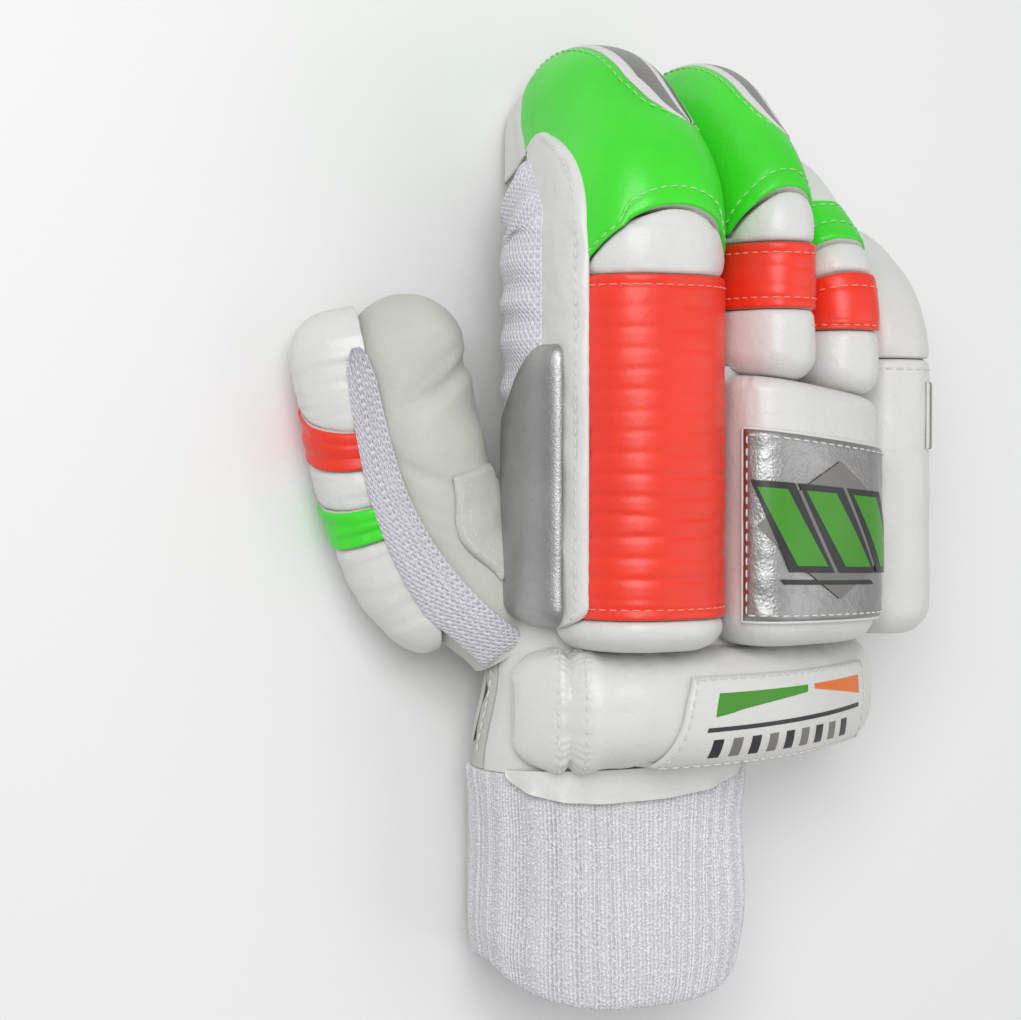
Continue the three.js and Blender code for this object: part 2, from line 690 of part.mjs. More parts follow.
const strapY = WRIST_Y - GAP - BAND_LENGTH / 2;
const strapOutline = roundedOutline(STRAP_LENGTH / 2, STRAP_WIDTH / 2, STRAP_CORNER);
const panelOutline = roundedOutline(
  STRAP_LENGTH / 2 - STRAP_PANEL_INSET,
  STRAP_WIDTH / 2 - STRAP_PANEL_INSET,
  STRAP_CORNER - STRAP_PANEL_INSET / 2,
);
const strapTop = STRAP_PANEL_DEPTH + STRAP_THICKNESS;
const strapRows = [
  { outline: strapOutline, z: strapTop },
  { outline: strapOutline, z: STRAP_PANEL_DEPTH },
  { outline: panelOutline, z: STRAP_PANEL_DEPTH },
  { outline: panelOutline, z: 0 },
];
const strap = body(
  (corner, row) => [WRIST_CENTRE_X + row.outline[corner][0], strapY + row.outline[corner][1], row.z],
  (corner, row) => [WRIST_CENTRE_X, strapY, row.z],
  strapOutline.map((_, corner) => corner), strapRows, true,
);
add('wrist_strap', strap, leatherWhite);

// The index finger: red block, white ends, arched green tip roll and its cap
const { index, middle, ring, little } = FINGERS;

// The surface that the glove rests on flattens the leather that meets it.
const groundCorners = [[-200, -200], [200, -200], [200, 200], [-200, 200]];
const ground = body(
  (corner, z) => [...groundCorners[corner], z],
  (corner, z) => [0, 0, z],
  [0, 1, 2, 3], [-50, 0], true,
);

// Each roll runs on from the one before it. Its end names the seam that it stops at, and a roll without
// one runs to the floor. Its round is a share of the block's.
const ROLLS = {
  index: [
    { name: 'index_heel', start: BLOCK_REAR_Y, end: 'heel', finish: leatherWhite, round: 0.9 },
    { name: 'index_block', end: 'block', finish: leatherRed },
    { name: 'index_mid_roll', end: 'mid', finish: leatherWhite },
    { name: 'index_tip_roll', end: 'tip', finish: leatherGreen, fine: true },
    { name: 'index_tip_cap', finish: leatherWhite },
  ],
  middle: [
    { name: 'middle_lower_roll', end: 'lower', finish: leatherWhite, round: 0.8 },
    { name: 'middle_band', end: 'band', finish: leatherRed },
    { name: 'middle_mid_roll', end: 'mid', finish: leatherWhite },
    { name: 'middle_tip_roll', end: 'tip', finish: leatherGreen, fine: true },
    { name: 'middle_tip_cap', finish: leatherWhite },
  ],
  ring: [
    { name: 'ring_lower_roll', end: 'lower', finish: leatherWhite, round: 0.8 },
    { name: 'ring_red_band', end: 'red', finish: leatherRed },
    { name: 'ring_mid_roll', end: 'mid', finish: leatherWhite },
    { name: 'ring_green_band', end: 'green', finish: leatherGreen },
    { name: 'ring_tip_roll', finish: leatherWhite, fine: true },
  ],
  little: [
    { name: 'little_side_roll', start: BLOCK_REAR_Y, end: 'side', finish: leatherWhite, round: 1 },
    { name: 'little_tip_roll', finish: leatherWhite, fine: true },
  ],
};

function blockFront(x) {
  return BLOCK_FRONT_Y - BLOCK_FRONT_FALL * (x - blockLeft) / (blockRight - blockLeft);
}

const blockLeft = middle.x - middle.width / 2;
const blockRight = ring.x + ring.width / 2;
// The distance of a seam on a finger's centre line, at an angle round the roll.
function seamAt(finger, seam, angle) {
  const top = seam.straight * finger.bendY + seam.bent * (finger.bentAt - finger.bendY);
  return top - seam.arch * finger.width / 2 * Math.abs(Math.cos(angle)) ** SEAM_ARCH_POWER;
}

for (const [name, rolls] of Object.entries(ROLLS)) {
  const finger = FINGERS[name];
  let start = null;
  for (const roll of rolls) {
    const round = (roll.round ?? 0) * BLOCK_ROUND;
    const besideBlock = (angle) => blockFront(rollPoint(finger, angle, 0, -round)[0]) + GAP;
    const from = start ?? ('start' in roll ? () => roll.start : besideBlock);
    const seam = SEAMS[name][roll.end];
    const to = seam ? (angle) => seamAt(finger, seam, angle) : () => finger.floorAt;
    const raw = rollSection(finger, from, to, roll.fine, round);
    add(roll.name, cut(raw, handRoom, finger.room, ground), roll.finish);
    start = (angle) => to(angle) + GAP;
  }
}

// The knuckle block behind the middle and ring fingers, and its silver patch
function blockPoint(angle, y, lift, under = false) {
  const exponent = 2 / BLOCK_POWER;
  const centre = (blockLeft + blockRight) / 2;
  const half = (blockRight - blockLeft) / 2;
  const x = centre + power(Math.cos(angle), exponent) * (half + lift);
  const rise = under ? 0 : power(Math.sin(angle), exponent) * (BLOCK_RISE + lift - BLOCK_FLOOR);
  return [x, y, archZ(x) + BLOCK_FLOOR + rise];
}

// Angles round the block that are closest together at its edges.
const blockAngles = steps(1, -1, 12).map((t) => Math.acos(power(Math.sin(t * Math.PI / 2), BLOCK_POWER / 2)));
const blockY = (x, share) => mix(BLOCK_REAR_Y, blockFront(x), share);
const blockLength = BLOCK_FRONT_Y - BLOCK_REAR_Y;
const blockDrop = (share) => {
  const rear = endDrop(share * blockLength, BLOCK_ROUND, BLOCK_ROUND);
  const front = endDrop((1 - share) * blockLength, BLOCK_ROUND / 2, BLOCK_ROUND / 2);
  return rear + front;
};
const blockSpot = (angle, share, lift, under) => {
  const [x] = blockPoint(angle, 0, lift);
  return blockPoint(angle, blockY(x, share), lift, under);
};
const block = body(
  (angle, share) => blockSpot(angle, share, -blockDrop(share), false),
  (angle, share) => blockSpot(angle, share, -blockDrop(share), true),
  blockAngles, [0, 0.03, 0.11, 0.5, 0.94, 1],
);
add('knuckle_block', cut(block, handRoom, middle.room, ring.room, little.room), leatherWhite);

const patchShares = [0.1, 0.5, 0.8];
const knucklePatch = body(
  (angle, share) => blockSpot(angle, share, COVER_SEAT + COVER, false),
  (angle, share) => blockSpot(angle, share, COVER_SEAT, false),
  blockAngles.slice(1, -2), patchShares,
);
add('knuckle_patch', knucklePatch, leatherSilver);

// The cuff bar: a padded roll across the wrist, with a label plate and a thin skirt behind it
const cuffY = BLOCK_REAR_Y - GAP - CUFF_DEPTH / 2;
const cuffEnd = CUFF_CENTRE_X - CUFF_LENGTH / 2;

// On the thumb side the bar turns down over the hand's edge and thins out.
const cuffTurn = (x) => clamp((CUFF_TURN_X - x) / (CUFF_TURN_X - cuffEnd));
const cuffRise = (x) => mix(CUFF_RISE, CUFF_END_RISE, cuffTurn(x));
function cuffTop(x) {
  const turned = Math.min(0, x - CUFF_TURN_X) ** 2 / (2 * CUFF_TURN_RADIUS);
  return CUFF_TOP_Z - (x - CUFF_CROWN_X) ** 2 / (2 * CUFF_ARCH_RADIUS) - turned;
}

function cuffPoint(angle, x, lift, under = false) {
  const exponent = 2 / ROLL_POWER;
  const y = cuffY + power(Math.cos(angle), exponent) * (CUFF_DEPTH / 2 + lift);
  const floor = cuffTop(x) - cuffRise(x);
  const sink = CUFF_SINK * (1 - cuffTurn(x));
  const rise = under ? -sink : power(Math.sin(angle), exponent) * (cuffRise(x) + lift);
  return [x, y, floor + rise];
}

const cuffShares = [0, 0.03, 0.08, 0.18, 0.4, 0.65, 0.9, 0.97, 1];
const cuffX = (share) => CUFF_CENTRE_X + (share - 0.5) * CUFF_LENGTH;
const cuffEndDrop = (share) => endDrop(share * CUFF_LENGTH, CUFF_ROUND, CUFF_ROUND);
const cuffDrop = (share) => cuffEndDrop(share) + cuffEndDrop(1 - share);
const cuffBar = body(
  (angle, share) => cuffPoint(angle, cuffX(share), -cuffDrop(share)),
  (angle, share) => cuffPoint(angle, cuffX(share), -cuffDrop(share), true),
  steps(0, Math.PI, 8), cuffShares,
);
const bandRoom = filled((angle, share) => bandPoint(angle, share, GAP), HAND_SIDES, [0, 0.3, 0.7]);
add('cuff_bar', cut(cuffBar, handRoom, bandRoom, thumbRoom), leatherWhite);


// The label plate's front and rear angles, the shares that its ends lie at, and the slant of its left end
const LABEL = { front: 1.05, rearLeft: 2.62, rearRight: 2.35, left: 0.5, right: 0.885, slant: 0.045 };
function labelPoint(deep, along, lift) {
  const rear = mix(LABEL.rearLeft, LABEL.rearRight, along);
  const left = LABEL.left - LABEL.slant * deep;
  return cuffPoint(mix(LABEL.front, rear, deep), cuffX(mix(left, LABEL.right, along)), lift);
}
const label = body(
  (deep, along) => labelPoint(deep, along, COVER_SEAT + COVER),
  (deep, along) => labelPoint(deep, along, COVER_SEAT),
  steps(0, 1, 4), steps(0, 1, 6),
);
add('cuff_label', label, leatherWhite);

const skirtAngles = steps(SKIRT_FROM, SKIRT_TO, 12);
const skirtY = (angle, share) => {
  const along = (angle - SKIRT_FROM) / (SKIRT_TO - SKIRT_FROM);
  const reach = SKIRT_EDGE + SKIRT_REACH * Math.sin(along * Math.PI) ** 0.5;
  return cuffY - CUFF_DEPTH / 2 - GAP - share * reach;
};
function skirtPoint(angle, share, lift) {
  const y = skirtY(angle, share);
  const [bandX, , bandZ] = bandPoint(angle, 0, lift);
  return [bandX, y, bandZ];
}
const skirt = body(
  (angle, share) => skirtPoint(angle, share, GAP * 2 + LEATHER),
  (angle, share) => skirtPoint(angle, share, GAP * 2),
  skirtAngles, [0, 0.5, 1],
);
add('cuff_skirt', cut(skirt, handRoom, bandRoom), leatherWhite);

// The thumb side of the index finger: side leather, silver guard bar and knit gusset
const flankShares = [0, 0.4, 0.82, 0.86, 0.9, 0.95, 1];
const flankAt = (share) => mix(BAR_REAR_Y, mix(index.bendY, index.bentAt, FLANK_END), share);

function flankPoint(height, share, lift) {
  const distance = flankAt(share);
  const line = centreLine(index, distance);
  const top = clamp((height - ROLL_FLOOR) / (index.rise - ROLL_FLOOR));
  const inward = 1 - (1 - top ** ROLL_POWER) ** (1 / ROLL_POWER);
  const x = line.x - halfWidth(index, distance) * (1 - inward) - lift;
  return [x, line.y + line.outY * height, line.z + line.outZ * height];
}
const flankHeights = [0, 0.3, 0.56, 0.83, 1].map((share) => mix(FLANK_BOTTOM, FLANK_TOP, share));
const sideLeather = body(
  (height, share) => flankPoint(height, share, GAP + SIDE_LEATHER),
  (height, share) => flankPoint(height, share, GAP),
  flankHeights, flankShares,
);
add('index_side_leather', cut(sideLeather, handRoom, index.room, thumbRoom), leatherWhite);

const flankX = FIRST_EDGE_X - GAP - SIDE_LEATHER - GAP;
function barPoint(angle, y, lift, under = false) {
  const z = BAR_CENTRE_Z + power(Math.cos(angle), BAR_SQUARE) * (BAR_HEIGHT / 2 + lift);
  const out = under ? 0 : power(Math.sin(angle), BAR_SQUARE) * (BAR_THICKNESS + lift);
  return [flankX - out, y, z];
}
const barLength = BAR_FRONT_Y - BAR_REAR_Y;
const barEndDrop = (share) => endDrop(share * barLength, BAR_ROUND, BAR_ROUND);
const barDrop = (share) => barEndDrop(share) + barEndDrop(1 - share) / 2;
const sideBar = body(
  (angle, share) => barPoint(angle, mix(BAR_REAR_Y, BAR_FRONT_Y, share), -barDrop(share)),
  (angle, share) => barPoint(angle, mix(BAR_REAR_Y, BAR_FRONT_Y, share), -barDrop(share), true),
  steps(0, Math.PI, 8), [0, 0.03, 0.1, 0.94, 1],
);
const barRoom = body(
  (angle, share) => barPoint(angle, mix(BAR_REAR_Y - GAP, BAR_FRONT_Y + GAP, share), GAP),
  (angle, share) => barPoint(angle, mix(BAR_REAR_Y - GAP, BAR_FRONT_Y + GAP, share), GAP, true),
  steps(0, Math.PI, 8), [0, 1],
);
add('side_bar', cut(sideBar, handRoom, thumbRoom), leatherSilver);

function gussetPoint(angle, share, lift, under = false) {
  const distance = mix(GUSSET_REAR_Y, flankAt(1), share);
  const line = centreLine(index, distance);
  const height = -GUSSET_DROP + power(Math.cos(angle), BAR_SQUARE) * (GUSSET_HEIGHT / 2 + lift);
  const out = under ? 0 : power(Math.sin(angle), BAR_SQUARE) * (GUSSET_THICKNESS + lift);
  const x = line.x - halfWidth(index, distance) - GAP - out;
  return [x, line.y + line.outY * height, line.z + line.outZ * height];
}
const gusset = body(
  (angle, share) => gussetPoint(angle, share, 0),
  (angle, share) => gussetPoint(angle, share, 0, true),
  steps(0, Math.PI, 8), flankShares,
);
const flankRoom = body(
  (height, share) => flankPoint(height, share, SIDE_LEATHER + 2 * GAP),
  (height, share) => flankPoint(height, share, -LEATHER),
  [FLANK_BOTTOM - GAP, ...flankHeights.slice(1, -1), FLANK_TOP + GAP], flankShares,
);
add('index_gusset', cut(gusset, handRoom, index.room, barRoom, flankRoom, coveredThumbRoom), knit);

// Striped inlays on the fingertip rolls and the side roll
function rollCover(finger, angles, distances) {
  return body(
    (angle, distance) => rollPoint(finger, angle, distance, COVER_SEAT + COVER),
    (angle, distance) => rollPoint(finger, angle, distance, COVER_SEAT),
    angles, distances,
  );
}
for (const [name, inlay] of Object.entries(INLAYS)) {
  const finger = FINGERS[inlay.finger];
  const root = inlay.straight * finger.bendY;
  const span = finger.bentAt - finger.bendY;
  const distances = steps(root + inlay.from * span, root + inlay.to * span, inlay.rows);
  add(name, rollCover(finger, steps(inlay.low, inlay.high, 6), distances), leatherStriped);
}

// Coverings of the thumb: the knit strip over its upper side and the doubled leather at its root
function thumbCover(angles, shares) {
  return body(
    (angle, share) => thumbPoint(angle, { share, dome: 0 }, COVER_SEAT + COVER),
    (angle, share) => thumbPoint(angle, { share, dome: 0 }, COVER_SEAT),
    angles, shares,
  );
}

// Lowest and highest angle round the thumb, and start and end as shares of its centre line
const THUMB_COVERS = [
  { name: 'thumb_knit', low: 0.75, high: 1.4, from: 0.3, to: 0.95, sides: 4, rows: 7, finish: knit },
  { name: 'thumb_patch', low: 1.6, high: 2.3, from: 0.36, to: 0.64, sides: 5, rows: 4, finish: leatherPalm },
];
for (const row of THUMB_COVERS) {
  const cover = thumbCover(steps(row.low, row.high, row.sides), steps(row.from, row.to, row.rows));
  add(row.name, cut(cover, handRoom, barRoom), row.finish);
}

// The origin is under the middle of the glove, on the surface that it rests on.
const bounds = new THREE.Box3().setFromObject(glove);
const middlePoint = bounds.getCenter(new THREE.Vector3());
glove.position.set(-middlePoint.x, -middlePoint.y, -bounds.min.z);

export default glove;
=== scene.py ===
"""A cricket batting glove for the right hand: leather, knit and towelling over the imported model.

The shapes are in hand millimetres, as the model's own source has them: +Y to the fingertips, +X to the
little finger, +Z out of the back of the hand. They are moved into the row frame when a mesh is made.
"""

import math
from types import SimpleNamespace
import bmesh
import bpy
import numpy as np
from mathutils import Matrix, Vector


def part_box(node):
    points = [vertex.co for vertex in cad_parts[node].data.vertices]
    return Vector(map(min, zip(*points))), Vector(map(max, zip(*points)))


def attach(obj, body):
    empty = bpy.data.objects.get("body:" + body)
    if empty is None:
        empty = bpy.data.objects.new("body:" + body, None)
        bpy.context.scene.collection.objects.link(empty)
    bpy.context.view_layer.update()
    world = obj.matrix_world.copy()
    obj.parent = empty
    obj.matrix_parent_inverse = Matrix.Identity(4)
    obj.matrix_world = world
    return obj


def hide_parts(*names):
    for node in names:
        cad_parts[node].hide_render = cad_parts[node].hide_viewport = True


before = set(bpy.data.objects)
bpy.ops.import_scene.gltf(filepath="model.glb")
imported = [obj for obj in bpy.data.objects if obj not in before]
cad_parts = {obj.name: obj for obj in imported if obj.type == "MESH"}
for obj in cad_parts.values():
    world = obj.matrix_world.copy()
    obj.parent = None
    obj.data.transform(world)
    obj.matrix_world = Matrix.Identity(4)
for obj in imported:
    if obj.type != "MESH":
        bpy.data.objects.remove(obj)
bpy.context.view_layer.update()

bl_info = {
    "name": "Cricket Batting Glove",
    "version": (1, 0, 0),
    "blender": (4, 5, 0),
    "location": "View3D > Sidebar > Glove",
    "description": "Builds the leather, knit and towelling of a padded batting glove",
    "category": "Object",
}

# The solids' own sizes in millimetres, repeated from the model's source
GAP = 0.3
LEATHER = 2.0
TOWELLING = 3.2
COVER = 1.2
COVER_SEAT = 0.7
SIDE_LEATHER = 1.6
ARCH_CROWN = 56
ARCH_CROWN_X = -8
ARCH_RADIUS = 155
KNUCKLE_LINE_Y = 24
KNUCKLE_LINE_RADIUS = 84
FIRST_EDGE_X = -47.5
ROLL_FLOOR = 2
ROLL_POWER = 2.5
BEND_RADIUS = 12
FIRST_BEND = math.pi / 4
SECOND_BEND = 1.2
STALL_TIP_LIFT = 3
STALL_POWER = 2.2
TAPER_LENGTH = 50
WRIST_Y = -92
HAND_POWER = 2.6
HAND_FRONT_HALF_HEIGHT = 14
WRIST_CENTRE_X = -15
WRIST_HALF_WIDTH = 42
WRIST_HALF_HEIGHT = 26.5
BAND_LENGTH = 60
HEM_DIP = 8
STRAP_WIDTH = 54
STRAP_LENGTH = 66
STRAP_THICKNESS = 3
STRAP_PANEL_DEPTH = 1
STRAP_PANEL_INSET = 7
STRAP_CORNER = 11
BLOCK_REAR_Y = -56
BLOCK_FRONT_Y = 21.5
BLOCK_FRONT_FALL = 7.5
BLOCK_RISE = 31
BLOCK_FLOOR = 7
BLOCK_POWER = 4
BLOCK_ROUND = 9
CUFF_LENGTH = 129
CUFF_CENTRE_X = 9
CUFF_DEPTH = 34
CUFF_RISE = 19
CUFF_SINK = 7
CUFF_TOP_Z = 79
CUFF_CROWN_X = -5
CUFF_ARCH_RADIUS = 84
CUFF_TURN_X = -38
CUFF_TURN_RADIUS = 24
CUFF_END_RISE = 11
CUFF_ROUND = 9
SKIRT_REACH = 9
SKIRT_EDGE = 0.5
SKIRT_FROM = 0.9
SKIRT_TO = 2.75
BAR_REAR_Y = -50
BAR_FRONT_Y = 29
BAR_HEIGHT = 33
BAR_CENTRE_Z = 49
BAR_THICKNESS = 7.5
BAR_SQUARE = 0.85
BAR_ROUND = 6
FLANK_END = 0.574
FLANK_BOTTOM = -5
FLANK_TOP = 18
GUSSET_REAR_Y = -44
GUSSET_DROP = 13
GUSSET_HEIGHT = 22
GUSSET_THICKNESS = 7
THUMB_HEIGHT = 21.5
THUMB_ROOT_X = -38
THUMB_ROOT_Y = -70
THUMB_ROOT_LIFT = 10
THUMB_SPREAD = 39.5
THUMB_REACH = 97
THUMB_HALF_WIDTH = 18.5
THUMB_HALF_HEIGHT = 18.5
THUMB_WALL = 2.0
THUMB_POWER = 2.3
THUMB_ROLL_RISE = 32.5
THUMB_ROLL_HALF_HEIGHT = 15
THUMB_ROLL_TURN = 0.3
THUMB_ROLL_FLOOR = 12
THUMB_ROLL_ROOT = 0.3
THUMB_ROLL_FULL = 0.446
THUMB_ROLL_SWELL = 0.8
THUMB_ROLL_LOW = 0.6
THUMB_BASE_ROUND = 9
THUMB_TIP_ROUND = 13
THUMB_ROLL_FROM = 0.25
HALF = math.pi / 2

# Sizes of the finish in millimetres: folded and tucked edges, and where the stitches run
FOLD_DEPTH = 0.85
FOLD_RADIUS = 0.7
TUCK_DEPTH = 0.9
TUCK_RADIUS = 1.6
PLEATS = 0.22
STITCH_FROM_EDGE = 2.9
STITCH_LIFT = 0.12
SIDE_STITCH_ANGLE = 2.72
BAR_FINISH_SQUARE = 1.12
THUMB_DROP = 4.0
THUMB_DROP_FROM = 0.13
THUMB_DROP_RUN = 0.16

# Points this near are one, and edges this short have no length, in metres; a step that is never nought
SAME_POINT = 2e-6
NO_LENGTH = 1e-7
TINY = 1e-9

# Where the camera aims, in metres from the model's middle: across its picture, up it, and towards the camera;
# and half the floor's width
AIM_ACROSS = -0.0288
AIM_UP = -0.017
AIM_HEIGHT = 0.07
FLOOR_HALF = 4

# Each finger: width of its roll at the root and tip, inset of its thumb-side edge at the tip, half width
# and half height of the stall, rise of the roll, y of the first bend, length between the bends
FINGER_SIZES = {
    "index": (47, 33, 9, 12.5, 11.5, 31, 61, 18),
    "middle": (27.5, 26, 0, 11.5, 11.5, 32, 58, 17),
    "ring": (27.5, 23, 0, 10.5, 11, 30, 38, 15),
    "little": (30, 20, 0, 8.5, 9, 26, 28, 6),
}

# Seams: shares of the finger's straight and bent parts, and the arch as a share of the half width
SEAMS = {
    "index": {"heel": (-0.77, 0, 0), "block": (0.78, 0, 0), "mid": (1, 0.03, 0.54), "tip": (1, 1.03, 0)},
    "middle": {"lower": (0.675, 0, 0), "band": (0.997, 0, 0), "mid": (1, 0.1, 0.17), "tip": (1, 1.08, 0)},
    "ring": {"lower": (0.9, 0, 0), "red": (1, 0.1, 0), "mid": (1, 0.175, 0), "green": (1, 0.44, 0)},
    "little": {"side": (0.965, 0, 0)},
}


def mix(a, b, t):
    return a + (b - a) * t


def smooth(t):
    t = np.clip(t, 0, 1)
    return t * t * (3 - 2 * t)


def power(value, exponent):
    return np.sign(value) * np.abs(value) ** exponent


def hump(value, centre, width):
    """A bell round the centre: e to the minus square of the distance over the width."""
    return np.exp(-(((value - centre) / width) ** 2))


def quarter_drop(from_end, depth, radius):
    """Depth times one less a quarter circle, so that a pad's end turns down over its radius."""
    inside = np.clip(1 - from_end / radius, 0, 1)
    return depth * (1 - np.sqrt(np.maximum(0, 1 - inside**2)))


def ends_drop(share, length, rear, front):
    """How far a pad is drawn in along its length, by the radii of its rear and front ends."""
    return quarter_drop(share * length, rear, rear) + quarter_drop((1 - share) * length, front, front)


def rim_seat(across, along, side, end):
    """Nought on a cover's rims and one inside: the root of the share from the nearest rim, times its steepness."""
    rim = np.minimum(np.minimum(across, 1 - across) * side, np.minimum(along, 1 - along) * end)
    return np.clip(rim, 0, 1) ** 0.5


def even_grid(columns, rows):
    """Even shares across and along a piece."""
    return np.meshgrid(np.linspace(0, 1, columns), np.linspace(0, 1, rows))


def quarter_steps(count):
    """Steps from nought to one, closest together at the start, as the height round a quarter circle."""
    return 1 - np.cos(np.linspace(0, HALF, count))


def rounded_rows(length, radius, turn, middle):
    """Shares along a piece: so many rows round each of its rounded ends, and so many between them."""
    edge = quarter_steps(turn) * radius / length
    return np.unique(np.concatenate([edge, np.linspace(edge[-1], 1 - edge[-1], middle), 1 - edge]))


def round_angles(count):
    """Even angles once round."""
    return np.arange(count) * 2 * math.pi / count


def read_table(table, share):
    """Values between the rows of a table, whose first column is the share, along smooth steps."""
    rows = np.asarray(table, float)
    share = np.asarray(share, float)
    at = np.clip(np.searchsorted(rows[:, 0], share, side="right") - 1, 0, len(rows) - 2)
    a, b = rows[at], rows[at + 1]
    t = smooth((share - a[..., 0]) / (b[..., 0] - a[..., 0]))
    return [mix(a[..., i], b[..., i], t) for i in range(1, rows.shape[1])]


LATTICE_SIDE = 32
LATTICES = [np.random.default_rng(seed).uniform(-1, 1, (LATTICE_SIDE,) * 3) for seed in range(3)]


def noise(points, size, which=0):
    """Smooth noise from -1 to 1: random values on a lattice of the given size, eased between corners."""
    grid = LATTICES[which]
    p = np.asarray(points, float) / size
    cell = np.floor(p).astype(int)
    f = smooth(p - cell)
    total = 0
    for corner in range(8):
        step = np.array([corner & 1, corner >> 1 & 1, corner >> 2 & 1])
        i = (cell + step) % LATTICE_SIDE
        weight = np.prod(np.where(step, f, 1 - f), axis=-1)
        total = total + weight * grid[i[..., 0], i[..., 1], i[..., 2]]
    return total


def arch_z(x):
    return ARCH_CROWN - (x - ARCH_CROWN_X) ** 2 / (2 * ARCH_RADIUS)


def knuckle_y(x):
    return KNUCKLE_LINE_Y - (x - ARCH_CROWN_X) ** 2 / (2 * KNUCKLE_LINE_RADIUS)


def taper_at(finger, distance):
    return np.clip((distance - finger.bend_y) / TAPER_LENGTH, 0, 1)


def half_width(finger, distance):
    return mix(finger.width, finger.tip_width, taper_at(finger, distance)) / 2


def centre_line(finger, distance):
    """A finger's centre line: straight to the first bend, then arcs and a straight link, in the YZ plane.

    Returns x, y, z and the sine and cosine of the pitch, which give the outward direction.
    """
    distance = np.asarray(distance, float)
    y = np.minimum(distance, finger.bend_y)
    z = np.full_like(y, finger.z)
    left = distance - y
    pitch = np.zeros_like(y)
    for length, turn in finger.runs:
        part = np.clip(left, 0, length)
        turned = turn * part / length
        if turn:
            radius = length / turn
            y = y + radius * (np.sin(pitch + turned) - np.sin(pitch))
            z = z - radius * (np.cos(pitch) - np.cos(pitch + turned))
        else:
            y = y + part * np.cos(pitch)
            z = z - part * np.sin(pitch)
        pitch = pitch + turned
        left = left - part
    y = y + left * np.cos(pitch)
    z = z - left * np.sin(pitch)
    x = finger.edge + finger.inset * taper_at(finger, distance) + half_width(finger, distance)
    return x, y, z, np.sin(pitch), np.cos(pitch)


def lay_out_fingers():
    """Sets the fingers' columns side by side, one clearance apart, and measures their bent parts."""
    fingers = {}
    edge = FIRST_EDGE_X
    names = ["width", "tip_width", "inset", "wide", "high", "rise", "bend_y", "link"]
    for name, sizes in FINGER_SIZES.items():
        finger = SimpleNamespace(**dict(zip(names, sizes)))
        finger.edge = edge
        finger.x = edge + finger.width / 2
        finger.z = arch_z(finger.x)
        finger.runs = [
            (BEND_RADIUS * FIRST_BEND, FIRST_BEND),
            (finger.link, 0),
            (BEND_RADIUS * SECOND_BEND, SECOND_BEND),
        ]
        finger.bent_at = finger.bend_y + sum(length for length, _ in finger.runs)
        bent_z = float(centre_line(finger, finger.bent_at)[2])
        steepness = math.sin(FIRST_BEND + SECOND_BEND)
        finger.dome_at = finger.bent_at + (bent_z - finger.high - STALL_TIP_LIFT) / steepness
        finger.seams = SEAMS[name]
        edge += finger.width + GAP
        fingers[name] = finger
    return fingers


FINGERS = lay_out_fingers()
LAST_EDGE_X = FINGERS["little"].edge + FINGERS["little"].width
FRONT_X = (FIRST_EDGE_X + LAST_EDGE_X) / 2
FRONT_HALF = (LAST_EDGE_X - FIRST_EDGE_X) / 2
WRIST_Z = STRAP_THICKNESS + STRAP_PANEL_DEPTH + GAP + WRIST_HALF_HEIGHT
STRAP_Y = WRIST_Y - GAP - BAND_LENGTH / 2
BLOCK_LEFT = FINGERS["middle"].x - FINGERS["middle"].width / 2
BLOCK_RIGHT = FINGERS["ring"].x + FINGERS["ring"].width / 2
CUFF_Y = BLOCK_REAR_Y - GAP - CUFF_DEPTH / 2

# From hand millimetres to the row frame: the strap's box says where its own centre went.
STRAP_LOW, STRAP_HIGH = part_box("wrist_strap")
SHIFT = np.array([
    (STRAP_LOW[0] + STRAP_HIGH[0]) * 500 - WRIST_CENTRE_X,
    (STRAP_LOW[1] + STRAP_HIGH[1]) * 500 - STRAP_Y,
    0,
])


def row_metres(points):
    return (np.asarray(points, float) + SHIFT) / 1000


def stack(*parts):
    return np.stack(np.broadcast_arrays(*parts), axis=-1)


def normals_of(surface, u, v, eps=1e-3):
    """Unit normals of a surface by small steps in its two parameters."""
    du = surface(u + eps, v) - surface(u - eps, v)
    dv = surface(u, v + eps) - surface(u, v - eps)
    n = np.cross(du, dv)
    return n / np.maximum(np.linalg.norm(n, axis=-1, keepdims=True), 1e-12)


def lengths_along(points, axis):
    """Running length along one axis of a grid of points, averaged over the other."""
    steps = np.linalg.norm(np.diff(points, axis=axis), axis=-1).mean(axis=1 - axis)
    return np.concatenate([[0], np.cumsum(steps)])


# The sheets' cuts: width and length, metres; flat area, square metres; how each is held, and on what.
SHEETS = {
    "wristband_towelling": (0.236, 0.0685, 0.0145, "stretched", "hand_palm_leather"),
    "palm_overlay_leather": (0.093, 0.083, 0.00545, "laid", "hand_palm_leather"),
    "cuff_skirt_leather": (0.0105, 0.084, 0.0006, "laid", "wristband_towelling"),
    "index_side_leather_sheet": (0.0245, 0.18, 0.0034, "laid", "index_block_pad"),
    "index_gusset_knit": (0.025, 0.139, 0.0032, "gathered", "index_stall_leather"),
    "thumb_knit_sheet": (0.0205, 0.104, 0.00134, "stretched", "thumb_stall_leather"),
    "thumb_patch_sheet": (0.0215, 0.035, 0.0006, "laid", "thumb_stall_leather"),
}


def bmesh_of(mesh):
    """The bmesh of a mesh, which is removed."""
    bm = bmesh.new()
    bm.from_mesh(mesh)
    bpy.data.meshes.remove(mesh)
    return bm


def raw_mesh(points, faces):
    """A mesh of points in hand millimetres and lists of faces."""
    mesh = bpy.data.meshes.new("raw")
    mesh.from_pydata(row_metres(points.reshape(-1, 3)).tolist(), [], faces)
    return mesh


